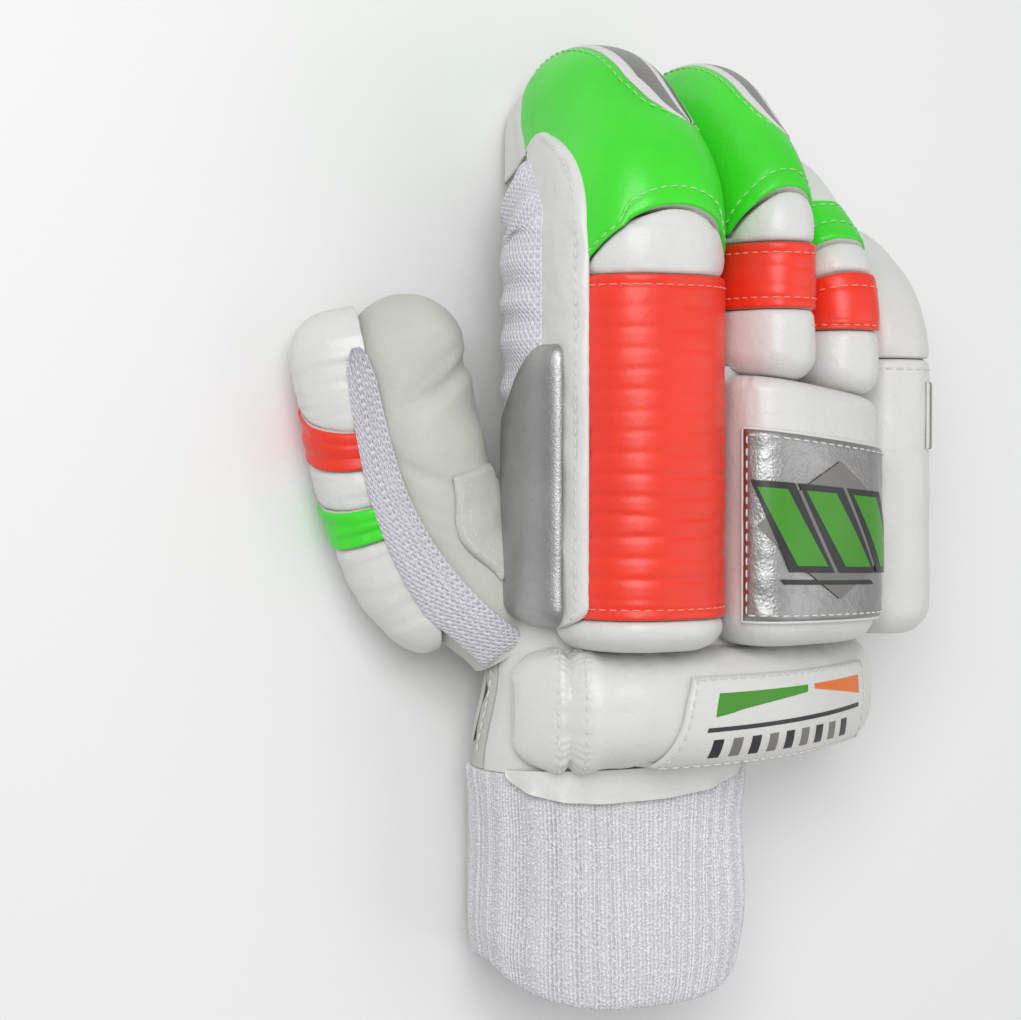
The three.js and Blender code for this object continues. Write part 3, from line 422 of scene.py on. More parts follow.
def finish_object(name, bm, materials, slot, replaces=(), crease=0.9):
    """Turns a bmesh into a smooth shaded piece that rides on the root and stands for its nodes."""
    bmesh.ops.recalc_face_normals(bm, faces=bm.faces)
    mesh = bpy.data.meshes.new(name)
    bm.to_mesh(mesh)
    bm.free()
    for material in materials:
        mesh.materials.append(MATERIALS[material])
    mesh.shade_smooth()
    mesh.set_sharp_from_angle(angle=crease)
    piece = bpy.data.objects.new(name, mesh)
    bpy.context.scene.collection.objects.link(piece)
    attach(piece, "root")
    if replaces:
        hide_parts(*replaces)
    if name in SHEETS:
        width, length, area, held, rests_on = SHEETS[name]
    return piece


def shell(name, outer, inner, materials, slot, replaces=(), closed=False, share=False):
    """A closed body between an outer and an inner grid of points, joined by rims along their open edges.

    The map named lay holds the running lengths across and along the outer grid, in metres, and share, if
    asked for, how far across each point is. The outer side takes the first material, the rest the last one.
    """
    rows, columns = outer.shape[:2]
    count = rows * columns
    r = np.arange(rows - 1)[:, None]
    c = np.arange(columns if closed else columns - 1)[None, :]
    a = r * columns + c
    b = r * columns + (c + 1) % columns
    d = a + columns
    e = b + columns
    top = np.stack([a, b, e, d], -1).reshape(-1, 4)
    under = np.stack([a, d, e, b], -1).reshape(-1, 4) + count
    rims = []
    first, last = np.arange(c.size), np.arange(c.size) + (rows - 1) * columns
    after = (np.arange(c.size) + 1) % columns
    rims.append(np.stack([first, first + count, after + count, after], -1))
    after = after + (rows - 1) * columns
    rims.append(np.stack([last, after, after + count, last + count], -1))
    if not closed:
        side = np.arange(rows - 1) * columns
        rims.append(np.stack([side, side + columns, side + columns + count, side + count], -1))
        side = side + columns - 1
        rims.append(np.stack([side, side + count, side + columns + count, side + columns], -1))
    faces = np.concatenate([top, under, *rims])
    mesh = raw_mesh(np.concatenate([outer.reshape(-1, 3), inner.reshape(-1, 3)]), faces.tolist())
    across = lengths_along(outer, 1) / 1000
    along = lengths_along(outer, 0) / 1000
    if closed:
        seam = np.linalg.norm(outer[:, 0] - outer[:, -1], axis=-1).mean() / 1000
        across = np.append(across, across[-1] + seam)
    corner = faces % count
    u_at, v_at = corner % columns, corner // columns
    wraps = (u_at.max(axis=1) - u_at.min(axis=1) > 1) & closed
    u_at = np.where(wraps[:, None] & (u_at == 0), columns, u_at)
    lay = mesh.uv_layers.new(name="lay")
    lay.data.foreach_set("uv", np.stack([across[u_at], along[v_at]], -1).ravel())
    if share:
        width_share = mesh.attributes.new("share", "FLOAT", "POINT")
        across = np.tile(np.linspace(0, 1, columns), rows * 2)
        width_share.data.foreach_set("value", across)
    inside = np.zeros(len(faces), int)
    inside[len(top):] = len(materials) - 1
    mesh.polygons.foreach_set("material_index", inside)
    bm = bmesh_of(mesh)
    bmesh.ops.remove_doubles(bm, verts=bm.verts, dist=SAME_POINT)
    bmesh.ops.dissolve_degenerate(bm, dist=NO_LENGTH, edges=bm.edges)
    return finish_object(name, bm, materials, slot, replaces)


def tube_faces(rings, sides, closed=False):
    """Four-cornered faces from each ring of points to the next, and from the last to the first if closed."""
    i = np.arange(rings if closed else rings - 1)[:, None]
    j = np.arange(sides)[None, :]
    after = (j + 1) % sides
    start, end = i * sides, (i + 1) % rings * sides
    return np.stack([start + j, start + after, end + after, end + j], -1).reshape(-1, 4)


def barrel(name, rings, materials, slot, replaces=()):
    """A closed body of rings of points, joined one to the next and closed by a fan at either end."""
    count, sides = rings.shape[:2]
    ends = np.stack([rings[0].mean(axis=0), rings[-1].mean(axis=0)])
    j, after = np.arange(sides), (np.arange(sides) + 1) % sides
    first = np.stack([j, after, np.full(sides, count * sides)], -1).tolist()
    last = np.stack([j, after, np.full(sides, count * sides + 1)], -1)
    last[:, :2] += (count - 1) * sides
    faces = tube_faces(count, sides).tolist() + first + last.tolist()
    mesh = raw_mesh(np.concatenate([rings.reshape(-1, 3), ends]), faces)
    return finish_object(name, bmesh_of(mesh), materials, slot, replaces)


def stitch_line(name, path, normals, material, zigzag=0.0, slot="white_leather"):
    """Short rounded threads along a path, each dipping in at both ends.

    A stitch's rings lie at shares of its length, with radii and heights that swell in its middle.
    """
    sizes = bpy.context.scene.glove_sizes
    long, space, thick = sizes.stitch_length, sizes.stitch_space, sizes.stitch_thickness
    length = np.concatenate([[0], np.cumsum(np.linalg.norm(np.diff(path, axis=0), axis=-1))])
    count = max(1, int(length[-1] / (long + space)))
    centres = (np.arange(count) + 0.5) * length[-1] / count

    def at(values, where):
        return np.stack([np.interp(where, length, values[:, i]) for i in range(3)], -1)

    ahead = at(path, centres + long / 2) - at(path, centres - long / 2)
    ahead /= np.maximum(np.linalg.norm(ahead, axis=-1, keepdims=True), TINY)
    up = at(normals, centres)
    up -= ahead * np.sum(up * ahead, -1, keepdims=True)
    up /= np.maximum(np.linalg.norm(up, axis=-1, keepdims=True), TINY)
    side = np.cross(up, ahead)
    if zigzag:
        swing = zigzag * np.where(np.arange(count) % 2, 1, -1)[:, None]
        ahead = ahead + side * swing
        ahead /= np.linalg.norm(ahead, axis=-1, keepdims=True)
        side = np.cross(up, ahead)
    middle = at(path, centres)
    shares = np.array([-0.5, -0.36, 0.0, 0.36, 0.5])
    radii = np.array([0.25, 0.85, 1.0, 0.85, 0.25]) * thick / 2
    heights = np.array([-0.5, 0.25, 0.5, 0.25, -0.5]) * thick / 2
    sides = 6
    turn = round_angles(sides)
    ring = (
        middle[:, None, None]
        + ahead[:, None, None] * (shares * long)[None, :, None, None]
        + up[:, None, None] * (heights[:, None] + radii[:, None] * np.sin(turn))[None, :, :, None]
        + side[:, None, None] * (radii[:, None] * np.cos(turn))[None, :, :, None]
    )
    rings = len(shares)
    each = rings * sides
    faces = (tube_faces(rings, sides)[None] + np.arange(count)[:, None, None] * each).reshape(-1, 4).tolist()
    starts = np.arange(count) * each
    low = (starts[:, None] + np.arange(sides)[::-1]).tolist()
    high = (starts[:, None] + each - sides + np.arange(sides)).tolist()
    return finish_object(name, bmesh_of(raw_mesh(ring, faces + low + high)), [material], slot, crease=1.2)


def stitch_on(name, surface, u, v, material="thread", flip=1, **options):
    """Stitches along a line of parameters of a surface, standing a little out of it."""
    u, v = np.broadcast_arrays(np.asarray(u, float), np.asarray(v, float))
    normals = normals_of(surface, u, v) * flip
    return stitch_line(name, surface(u, v) + normals * STITCH_LIFT, normals, material, **options)


def stitch_rows(name, surface, rows, **options):
    """Rows of stitches on one surface: the end of each one's name, and its line of parameters."""
    for side, u, v in rows:
        stitch_on(f"{name}_{side}", surface, u, v, **options)


# Materials: each group puts out masks, tones and heights, and the shaders stay in the materials.

class Nodes:
    """A short way to add and join nodes in one tree."""

    def __init__(self, tree):
        self.tree = tree

    def add(self, kind, **values):
        node = self.tree.nodes.new(kind)
        for key, value in values.items():
            setattr(node, key, value)
        return node

    def join(self, source, target):
        self.tree.links.new(source, target)

    def feed(self, socket, value):
        if isinstance(value, bpy.types.NodeSocket):
            self.join(value, socket)
        else:
            socket.default_value = value

    def math(self, operation, a, b=0.0, c=None, clamp=False):
        node = self.add("ShaderNodeMath", operation=operation, use_clamp=clamp)
        self.feed(node.inputs[0], a)
        self.feed(node.inputs[1], b)
        if c is not None:
            self.feed(node.inputs[2], c)
        return node.outputs[0]

    def blend(self, factor, a, b):
        node = self.add("ShaderNodeMix", data_type="RGBA")
        self.feed(node.inputs[0], factor)
        self.feed(node.inputs[6], a)
        self.feed(node.inputs[7], b)
        return node.outputs[2]

    def range(self, value, low, high, to_low=0.0, to_high=1.0):
        node = self.add("ShaderNodeMapRange", interpolation_type="SMOOTHSTEP")
        self.feed(node.inputs["Value"], value)
        for label, limit in (("From Min", low), ("From Max", high), ("To Min", to_low), ("To Max", to_high)):
            node.inputs[label].default_value = limit
        return node.outputs["Result"]

    def noise(self, vector, scale, detail=3.0, roughness=0.5):
        node = self.add("ShaderNodeTexNoise")
        self.join(vector, node.inputs["Vector"])
        self.feed(node.inputs["Scale"], scale)
        node.inputs["Detail"].default_value = detail
        node.inputs["Roughness"].default_value = roughness
        return node.outputs["Fac"]

    def cells(self, vector, scale, feature="F1"):
        node = self.add("ShaderNodeTexVoronoi", feature=feature)
        self.join(vector, node.inputs["Vector"])
        self.feed(node.inputs["Scale"], scale)
        return node.outputs["Distance"]


def group(name, inputs, outputs):
    """A node group with named sockets, its inputs' and outputs' nodes, and a Nodes helper."""
    tree = bpy.data.node_groups.new(name, "ShaderNodeTree")
    for label, kind, value in inputs:
        socket = tree.interface.new_socket(label, in_out="INPUT", socket_type=kind)
        if value is not None:
            socket.default_value = value
    for label, kind in outputs:
        tree.interface.new_socket(label, in_out="OUTPUT", socket_type=kind)
    n = Nodes(tree)
    return tree, n, n.add("NodeGroupInput"), n.add("NodeGroupOutput")


def build_grain():
    """Leather grain: small pebbles with pores between them over soft folds, and a slow change of tone."""
    tree, n, into, out = group(
        "leather_grain",
        [("Vector", "NodeSocketVector", None), ("Pebble Scale", "NodeSocketFloat", 900.0),
         ("Fold Scale", "NodeSocketFloat", 60.0), ("Fold Share", "NodeSocketFloat", 0.5)],
        [("Height", "NodeSocketFloat"), ("Tone", "NodeSocketFloat"), ("Pores", "NodeSocketFloat")],
    )
    vector = into.outputs["Vector"]
    pebbles = n.cells(vector, into.outputs["Pebble Scale"], "SMOOTH_F1")
    fine = n.noise(vector, n.math("MULTIPLY", into.outputs["Pebble Scale"], 2.3), 2.0)
    folds = n.noise(vector, into.outputs["Fold Scale"], 4.0, 0.55)
    pebble = n.math("MULTIPLY_ADD", pebbles, -0.7, fine)
    n.join(n.math("MULTIPLY_ADD", folds, into.outputs["Fold Share"], n.math("MULTIPLY", pebble, 0.3)),
           out.inputs["Height"])
    n.join(n.range(n.noise(vector, 35.0, 3.0), 0.3, 0.7), out.inputs["Tone"])
    n.join(n.range(pebbles, 0.45, 0.75), out.inputs["Pores"])
    return tree


def build_knit():
    """Open knit: rows of small loops with a hole between each four, from the running lengths of the piece; the
    holes' mask is used to paint shade into them.
    """
    tree, n, into, out = group(
        "open_knit",
        [("Vector", "NodeSocketVector", None), ("Pitch", "NodeSocketFloat", 0.0022)],
        [("Height", "NodeSocketFloat"), ("Hole Shade", "NodeSocketFloat"), ("Tone", "NodeSocketFloat")],
    )
    split = n.add("ShaderNodeSeparateXYZ")
    n.join(into.outputs["Vector"], split.inputs[0])
    turn = n.math("DIVIDE", 2 * math.pi, into.outputs["Pitch"])
    waver = n.math("MULTIPLY", n.math("SUBTRACT", n.noise(into.outputs["Vector"], 150.0, 2.0), 0.5), 0.9)
    u = n.math("MULTIPLY_ADD", split.outputs[0], turn, waver)
    v = n.math("MULTIPLY_ADD", split.outputs[1], n.math("MULTIPLY", turn, 0.7), waver)
    a = n.math("SINE", n.math("ADD", u, v))
    b = n.math("SINE", n.math("SUBTRACT", u, v))
    loops = n.math("MULTIPLY", a, b)
    n.join(n.math("ABSOLUTE", loops), out.inputs["Height"])
    # Mask of the holes, which the knit material paints darker as painted shade.
    n.join(n.range(loops, 0.45, 0.8), out.inputs["Hole Shade"])
    n.join(n.range(n.noise(into.outputs["Vector"], 900.0, 2.0), 0.35, 0.65), out.inputs["Tone"])
    return tree


def build_loops():
    """Towelling: short loops in rows between the wales, from the running lengths of the piece; the tone is the
    loops' height, so it paints their tops lighter and the lows between them darker, as painted highlight and
    painted shade.
    """
    tree, n, into, out = group(
        "terry_loops",
        [("Vector", "NodeSocketVector", None), ("Wale Pitch", "NodeSocketFloat", 0.0014)],
        [("Height", "NodeSocketFloat"), ("Tone", "NodeSocketFloat")],
    )
    vector = into.outputs["Vector"]
    split = n.add("ShaderNodeSeparateXYZ")
    n.join(vector, split.inputs[0])
    turn = n.math("DIVIDE", 2 * math.pi, into.outputs["Wale Pitch"])
    waver = n.math("MULTIPLY", n.noise(vector, 420.0, 3.0), 14.0)
    across = n.math("SINE", n.math("MULTIPLY_ADD", split.outputs[0], turn, n.math("MULTIPLY", waver, 0.12)))
    along = n.math("SINE", n.math("MULTIPLY_ADD", split.outputs[1], n.math("MULTIPLY", turn, 1.1), waver))
    fluff = n.noise(vector, 2500.0, 4.0, 0.7)
    knots = n.range(n.cells(vector, 1350.0), 0.1, 0.75, 1.0, 0.0)
    both = n.math("MULTIPLY_ADD", along, 0.1, n.math("MULTIPLY", across, 0.4))
    height = n.math("MULTIPLY_ADD", knots, 1.1, n.math("MULTIPLY_ADD", fluff, 0.8, both))
    n.join(height, out.inputs["Height"])
    # The tone follows the height: painted highlight on the loops' tops, painted shade between them.
    n.join(n.range(height, 0.3, 1.5), out.inputs["Tone"])
    return tree


def build_stripes():
    """Three plain stripes side by side across a piece: masks from its own width share, zero to one."""
    tree, n, into, out = group(
        "plain_stripes",
        [("Share", "NodeSocketFloat", None), ("Soft", "NodeSocketFloat", 0.012)],
        [("Dark", "NodeSocketFloat"), ("Pale", "NodeSocketFloat")],
    )

    def strip(low, high):
        rise = n.math("DIVIDE", n.math("SUBTRACT", into.outputs["Share"], low), into.outputs["Soft"], clamp=True)
        fall = n.math("DIVIDE", n.math("SUBTRACT", high, into.outputs["Share"]), into.outputs["Soft"], clamp=True)
        return n.math("MULTIPLY", rise, fall)

    n.join(n.math("MAXIMUM", strip(0.47, 0.6), strip(0.83, 0.87)), out.inputs["Dark"])
    pale = n.math("MAXIMUM", strip(0.0, 0.12), strip(0.33, 0.44))
    n.join(n.math("MAXIMUM", pale, n.math("MAXIMUM", strip(0.62, 0.7), strip(0.92, 1.0))), out.inputs["Pale"])
    return tree


class Finish:
    """One material with its shader, Object coordinates and a bump chain."""

    def __init__(self, name, roughness, metallic=0.0, coat=0.0, sheen=0.0):
        self.material = bpy.data.materials.new(name)
        self.material.use_nodes = True
        self.n = Nodes(self.material.node_tree)
        self.shader = self.material.node_tree.nodes["Principled BSDF"]
        for label, value in (("Roughness", roughness), ("Metallic", metallic), ("Coat Weight", coat),
                             ("Coat Roughness", 0.2), ("Sheen Weight", sheen), ("Sheen Roughness", 0.5)):
            self.shader.inputs[label].default_value = value
        self.place = self.n.add("ShaderNodeTexCoord").outputs["Object"]

    def lay(self):
        """The piece's own map of running lengths, in metres."""
        return self.n.add("ShaderNodeUVMap", uv_map="lay").outputs["UV"]

    def group(self, tree, vector=None, **values):
        node = self.n.add("ShaderNodeGroup", node_tree=tree)
        if vector is not None:
            self.n.join(vector, node.inputs["Vector"])
        for key, value in values.items():
            self.n.feed(node.inputs[key.replace("_", " ")], value)
        return node.outputs

    def bump(self, height, distance, under=None):
        node = self.n.add("ShaderNodeBump")
        node.inputs["Distance"].default_value = distance
        self.n.join(height, node.inputs["Height"])
        if under is not None:
            self.n.join(under, node.inputs["Normal"])
        self.n.join(node.outputs["Normal"], self.shader.inputs["Normal"])
        return node.outputs["Normal"]

    def colour(self, value):
        self.n.feed(self.shader.inputs["Base Color"], value)

    def rough(self, value):
        self.n.feed(self.shader.inputs["Roughness"], value)


def shade(colour, factor):
    return (colour[0] * factor, colour[1] * factor, colour[2] * factor, 1.0)


def leather(name, colour, grain, roughness, coat, pebble=900.0, fold=60.0, fold_share=0.5, depth=0.00008,
            tone=0.9, sheen=0.0):
    """Coated leather: a little darker where the tone falls and in its pores, rougher there too."""
    finish = Finish(name, roughness, coat=coat, sheen=sheen)
    out = finish.group(grain, finish.place, Pebble_Scale=pebble, Fold_Scale=fold, Fold_Share=fold_share)
    n = finish.n
    toned = n.blend(out["Tone"], shade(colour, tone), shade(colour, 1.0))
    finish.colour(n.blend(n.math("MULTIPLY", out["Pores"], 0.08), toned, shade(colour, tone * 0.72)))
    finish.rough(n.math("MULTIPLY_ADD", out["Tone"], -0.08, roughness + 0.05))
    finish.bump(out["Height"], depth)
    return finish.material


def build_materials():
    colours = bpy.context.scene.glove_colours
    grain, knit, loops, stripes = build_grain(), build_knit(), build_loops(), build_stripes()
    # name, colour, grain, roughness, coat; scale of the pebbles and of the folds, share of the folds; depth of
    # the bump in metres, tone of the darker parts, sheen
    made = {
        "white": leather("white_leather", colours.white, grain, 0.4, 0.2, 1100.0, 170.0, 1.6, 0.00022, 0.95),
        "back": leather("backing_leather", colours.white, grain, 0.5, 0.1, 1100.0, 120.0, 1.6, 0.0003, 0.92),
        "palm": leather("palm_leather", colours.palm, grain, 0.62, 0.0, 700.0, 38.0, 1.0, 0.0003, 0.9, 0.1),
        "green": leather("green_leather", colours.green, grain, 0.42, 0.14, 1100.0, 200.0, 1.4, 0.00016, 0.9),
        "red": leather("red_leather", colours.red, grain, 0.42, 0.12, 1100.0, 200.0, 1.0, 0.00014, 0.92),
        "lining": leather("lining_cloth", colours.lining, grain, 0.9, 0.0, 1600.0, 50.0, 0.6, 0.0002, 0.92, 0.3),
        "edge": leather("cut_edge", colours.edge, grain, 0.75, 0.0, 1400.0, 80.0, 0.4, 0.0001),
        "dark": leather("dark_print", colours.dark, grain, 0.45, 0.15, depth=0.00006),
        "grey": leather("grey_print", colours.grey, grain, 0.5, 0.1, depth=0.00006),
        "leaf": leather("leaf_print", colours.leaf, grain, 0.45, 0.15, depth=0.00006, tone=0.85),
        "orange": leather("orange_print", colours.orange, grain, 0.45, 0.15, depth=0.00006),
        "pale": leather("pale_print", colours.pale, grain, 0.45, 0.15, depth=0.00006),
        "thread": leather("white_thread", colours.thread, grain, 0.7, 0.0, 4000.0, 400.0, 0.3, 0.00005),
        "red_thread": leather("red_thread", colours.red_thread, grain, 0.6, 0.0, 4000.0, 400.0, 0.3, 0.00005),
        "green_thread": leather("green_thread", colours.green_thread, grain, 0.6, 0.0, 4000.0, 400.0, 0.3,
                                0.00005),
    }
    for name, depth, scale, share in (("silver", 0.00024, 560.0, 0.9), ("bar", 0.00016, 900.0, 0.5)):
        finish = Finish(f"{name}_leather", 0.34, metallic=0.9, coat=0.05)
        n = finish.n
        out = finish.group(grain, finish.place, Pebble_Scale=scale, Fold_Scale=90.0, Fold_Share=share)
        crinkle = n.cells(finish.place, scale * 1.4, "DISTANCE_TO_EDGE")
        finish.colour(n.blend(out["Tone"], shade(colours.silver, 0.85), shade(colours.silver, 1.05)))
        finish.rough(n.math("MULTIPLY_ADD", out["Pores"], 0.12, 0.4))
        under = finish.bump(crinkle, depth * 0.5)
        finish.bump(out["Height"], depth, under=under)
        made[name] = finish.material
    finish = Finish("knit_mesh", 0.85, sheen=0.3)
    n = finish.n
    out = finish.group(knit, finish.lay(), Pitch=0.0032)
    cloth = n.blend(out["Tone"], shade(colours.knit, 0.9), shade(colours.knit, 1.0))
    # The holes are painted darker: painted shade in them and behind them.
    finish.colour(n.blend(n.math("MULTIPLY", out["Hole Shade"], 0.45), cloth, shade(colours.knit, 0.5)))
    finish.bump(out["Height"], 0.0005)
    made["knit"] = finish.material
    finish = Finish("terry_towelling", 0.95, sheen=0.4)
    n = finish.n
    out = finish.group(loops, finish.lay(), Wale_Pitch=bpy.context.scene.glove_sizes.wale_pitch / 1000)
    # Lighter where the loops stand high and darker where they are low: painted highlight and painted shade.
    finish.colour(n.blend(out["Tone"], shade(colours.towelling, 0.82), shade(colours.towelling, 1.2)))
    finish.bump(out["Height"], 0.0003)
    made["towelling"] = finish.material
    finish = Finish("striped_leather", 0.42, coat=0.2)
    n = finish.n
    share = n.add("ShaderNodeAttribute", attribute_name="share").outputs["Fac"]
    masks = finish.group(stripes, Share=share)
    out = finish.group(grain, finish.place, Pebble_Scale=900.0, Fold_Scale=60.0, Fold_Share=0.4)
    ground = n.blend(out["Tone"], shade(colours.grey, 0.9), shade(colours.grey, 1.05))
    striped = n.blend(masks["Dark"], ground, shade(colours.dark, 1.0))
    finish.colour(n.blend(masks["Pale"], striped, shade(colours.pale, 1.0)))
    finish.bump(out["Height"], 0.00008)
    made["striped"] = finish.material
    return made


MATERIALS = {}


# Surfaces in hand millimetres


def edge_lift(away, style):
    """How a piece's edge stands: a folded edge lies proud with a stitched groove, a tucked one dives under."""
    if style == "over":
        groove = -0.3 * hump(away, STITCH_FROM_EDGE, 0.75)
        return -quarter_drop(away, FOLD_DEPTH, FOLD_RADIUS) + 0.3 * np.exp(-away / 4) + groove
    return -quarter_drop(away, TUCK_DEPTH, TUCK_RADIUS) - 0.75 * np.exp(-away / 2.6)


def end_lift(away, radius, style):
    """The lift at one end of a roll: rounded over its radius, or an edge of a style."""
    return -quarter_drop(away, radius, radius) if radius else edge_lift(away, style)


def under_lift(near, far, round_start=0, round_end=0):
    """The lift of a roll's under side by its distances from both ends, each rounded or tucked under."""
    start = quarter_drop(near, round_start or TUCK_DEPTH, round_start or TUCK_RADIUS)
    return -start - quarter_drop(far, round_end or TUCK_DEPTH, round_end or TUCK_RADIUS)


def gathers(angle, away, which, reach=5.0, count=26.0):
    """Short pleats that run out from a seam: noise round the roll that fades with the distance from it."""
    place = stack(angle * count / math.pi, away / 9, 0 * away + which * 7.3)
    return noise(place, 1.0, which % 3) * np.exp(-away / reach)


def hand_frame(share):
    """The hand tube's section at a share of its length: centre, half width and height, height, share of arch."""
    table = [
        (0, WRIST_CENTRE_X, WRIST_HALF_WIDTH, WRIST_HALF_HEIGHT, WRIST_Z, 0),
        (0.28, mix(WRIST_CENTRE_X, FRONT_X, 0.3), mix(WRIST_HALF_WIDTH, FRONT_HALF, 0.3),
         mix(WRIST_HALF_HEIGHT, HAND_FRONT_HALF_HEIGHT, 0.12), mix(WRIST_Z, ARCH_CROWN, 0.22), 0.25),
        (0.6, mix(WRIST_CENTRE_X, FRONT_X, 0.68), mix(WRIST_HALF_WIDTH, FRONT_HALF, 0.74),
         mix(WRIST_HALF_HEIGHT, HAND_FRONT_HALF_HEIGHT, 0.4), mix(WRIST_Z, ARCH_CROWN, 0.62), 0.7),
        (1, FRONT_X, FRONT_HALF, HAND_FRONT_HALF_HEIGHT, ARCH_CROWN, 1),
    ]
    return read_table(table, share)


def hand_surface(angle, share, lift):
    """The flattened tube of the hand: a rounded section of that share's width and height, arched across."""
    x0, wide, high, z0, arch = hand_frame(share)
    x = x0 + power(np.cos(angle), 2 / HAND_POWER) * (wide + lift)
    z = z0 - arch * (ARCH_CROWN - arch_z(x)) + power(np.sin(angle), 2 / HAND_POWER) * (high + lift)
    return stack(x, mix(WRIST_Y, knuckle_y(x), share), z)


def hand_top(x, y):
    """Height of the hand tube's upper side over a place, or far below where there is none."""
    share = np.clip((y - WRIST_Y) / (knuckle_y(x) - WRIST_Y), 0, 1)
    x0, wide, high, z0, arch = hand_frame(share)
    aside = np.abs(x - x0) / (wide + GAP)
    up = (high + GAP) * np.maximum(0, 1 - aside**HAND_POWER) ** (1 / HAND_POWER)
    top = z0 - arch * (ARCH_CROWN - arch_z(x)) + up
    return np.where(aside < 1, top, -200.0)


def roll_point(finger, angle, distance, lift):
    """A padded roll's outer side: half a rounded section, as wide as the finger's column, on its centre line."""
    e = 2 / ROLL_POWER
    aside = power(np.cos(angle), e) * (half_width(finger, distance) + lift)
    up = power(np.sin(angle), e) * (finger.rise + lift - ROLL_FLOOR) + ROLL_FLOOR
    x, y, z, out_y, out_z = centre_line(finger, distance)
    return stack(x + aside, y + out_y * up, z + out_z * up)


def roll_under(finger, angle, distance, lift):
    """A roll's under side: it lies on the stall, or on the hand behind the knuckle line."""
    aside = power(np.cos(angle), 2 / ROLL_POWER) * (half_width(finger, distance) + lift)
    x, y, z, out_y, out_z = centre_line(finger, distance)
    root = knuckle_y(finger.x + aside)
    base = np.clip((distance - root) / (finger.bend_y - root), 0, 1)
    p = mix(BLOCK_POWER, STALL_POWER, base)
    wide = mix(finger.width / 2 - GAP, finger.wide, smooth(base)) + GAP
    high = mix(HAND_FRONT_HALF_HEIGHT - LEATHER / 2, finger.high, smooth(base)) + GAP
    stall = high * np.maximum(0, 1 - np.abs(aside / wide) ** p) ** (1 / p)
    hand = hand_top(x + aside, np.minimum(distance, root)) + GAP - z
    up = np.maximum(ROLL_FLOOR, np.where(distance < root, hand, stall))
    return stack(x + aside, y + out_y * up, z + out_z * up)


def pad(name, outer, under, up_of, rows, columns, materials, slot, replaces=(), fill=0.7, **options):
    """A padded piece between its outer and under side, over the angles where the outer one is the higher."""
    fine = np.linspace(0, math.pi, 241)
    angle, share = np.meshgrid(fine, rows)
    above = np.sum((outer(angle, share) - under(angle, share)) * up_of(angle, share), -1) > 0.03
    first = fine[np.argmax(above, axis=1)]
    last = fine[len(fine) - 1 - np.argmax(above[:, ::-1], axis=1)]
    blur = np.array([0.25, 0.5, 0.25])
    first = np.convolve(np.pad(first, 1, mode="edge"), blur, "valid")
    last = np.convolve(np.pad(last, 1, mode="edge"), blur, "valid")
    across = (1 - np.cos(np.linspace(0, math.pi, columns))) / 2
    across = mix(np.linspace(0, 1, columns), across, 0.35)
    angle = mix(first[:, None], last[:, None], across[None, :])
    share = np.broadcast_to(np.asarray(rows)[:, None], angle.shape)
    top, bottom = outer(angle, share), under(angle, share)
    bottom[:, 0], bottom[:, -1] = top[:, 0], top[:, -1]
    top[..., 2] = np.maximum(top[..., 2], 0)
    bottom[..., 2] = np.maximum(bottom[..., 2], 0)
    piece = shell(name, top, bottom, materials, slot, replaces, **options)
    return piece


def straight_up(angle, share):
    """The upward direction of a pad that lies across the hand."""
    return stack(0 * angle, 0 * angle, 1 + 0 * angle)


def end_rows(span, count):
    """Shares along a piece, close together near both ends, where its edges turn."""
    near = np.arange(0, 4.5, 0.35) / span
    near = near[near < 0.3]
    middle = np.linspace(near[-1], 1 - near[-1], count)[1:-1]
    return np.concatenate([near, middle, 1 - near[::-1]])


def seam_line(finger, seam, shift=0.0):
    """The distance of a seam on the centre line, as a function of the angle round the roll.

    An arched seam is half an ellipse on the roll's outer side, from its crown down to its foot. Over the
    bend the outer side is longer than the centre line by one plus its height over the bend's radius.
    """
    straight, bent, arch = finger.seams[seam]
    bend = finger.bend_y
    top = straight * bend + bent * (finger.bent_at - bend)
    if not arch:
        return lambda angle: top + 0 * angle + shift
    crown = bend + (top - bend) * (1 + finger.rise / BEND_RADIUS)
    foot = top - arch * finger.width / 2

    def line(angle):
        aside = np.clip(np.abs(np.cos(angle)) ** (2 / ROLL_POWER) / 0.95, 0, 0.985)
        run = mix(crown, foot, (1 - np.sqrt(1 - aside**2)) / 0.83)
        height = power(np.sin(angle), 2 / ROLL_POWER) * (finger.rise - ROLL_FLOOR) + ROLL_FLOOR
        over = np.maximum(0, run - bend)
        return np.minimum(run, bend) + over / (1 + height / BEND_RADIUS) + shift
    return line


def floor_line(finger):
    """Where a roll's outer side meets the floor: the lower, the further out it stands."""
    bent_z = float(centre_line(finger, finger.bent_at)[2])
    sine, cosine = math.sin(FIRST_BEND + SECOND_BEND), math.cos(FIRST_BEND + SECOND_BEND)

    def line(angle):
        up = power(np.sin(angle), 2 / ROLL_POWER) * (finger.rise - ROLL_FLOOR) + ROLL_FLOOR
        return finger.bent_at + (bent_z + up * cosine) / sine - 7 * np.abs(np.cos(angle)) ** 5
    return line


def block_front(x):
    """The knuckle block's front edge, further back towards the little finger."""
    return BLOCK_FRONT_Y - BLOCK_FRONT_FALL * (x - BLOCK_LEFT) / (BLOCK_RIGHT - BLOCK_LEFT)


def beside_block(finger, radius):
    """The line of a roll that starts at the knuckle block's front edge, its corners rounded by the radius."""
    def line(angle):
        aside = power(np.cos(angle), 2 / ROLL_POWER) * (half_width(finger, 0 * angle) - radius)
        return block_front(finger.x + aside) + GAP
    return line


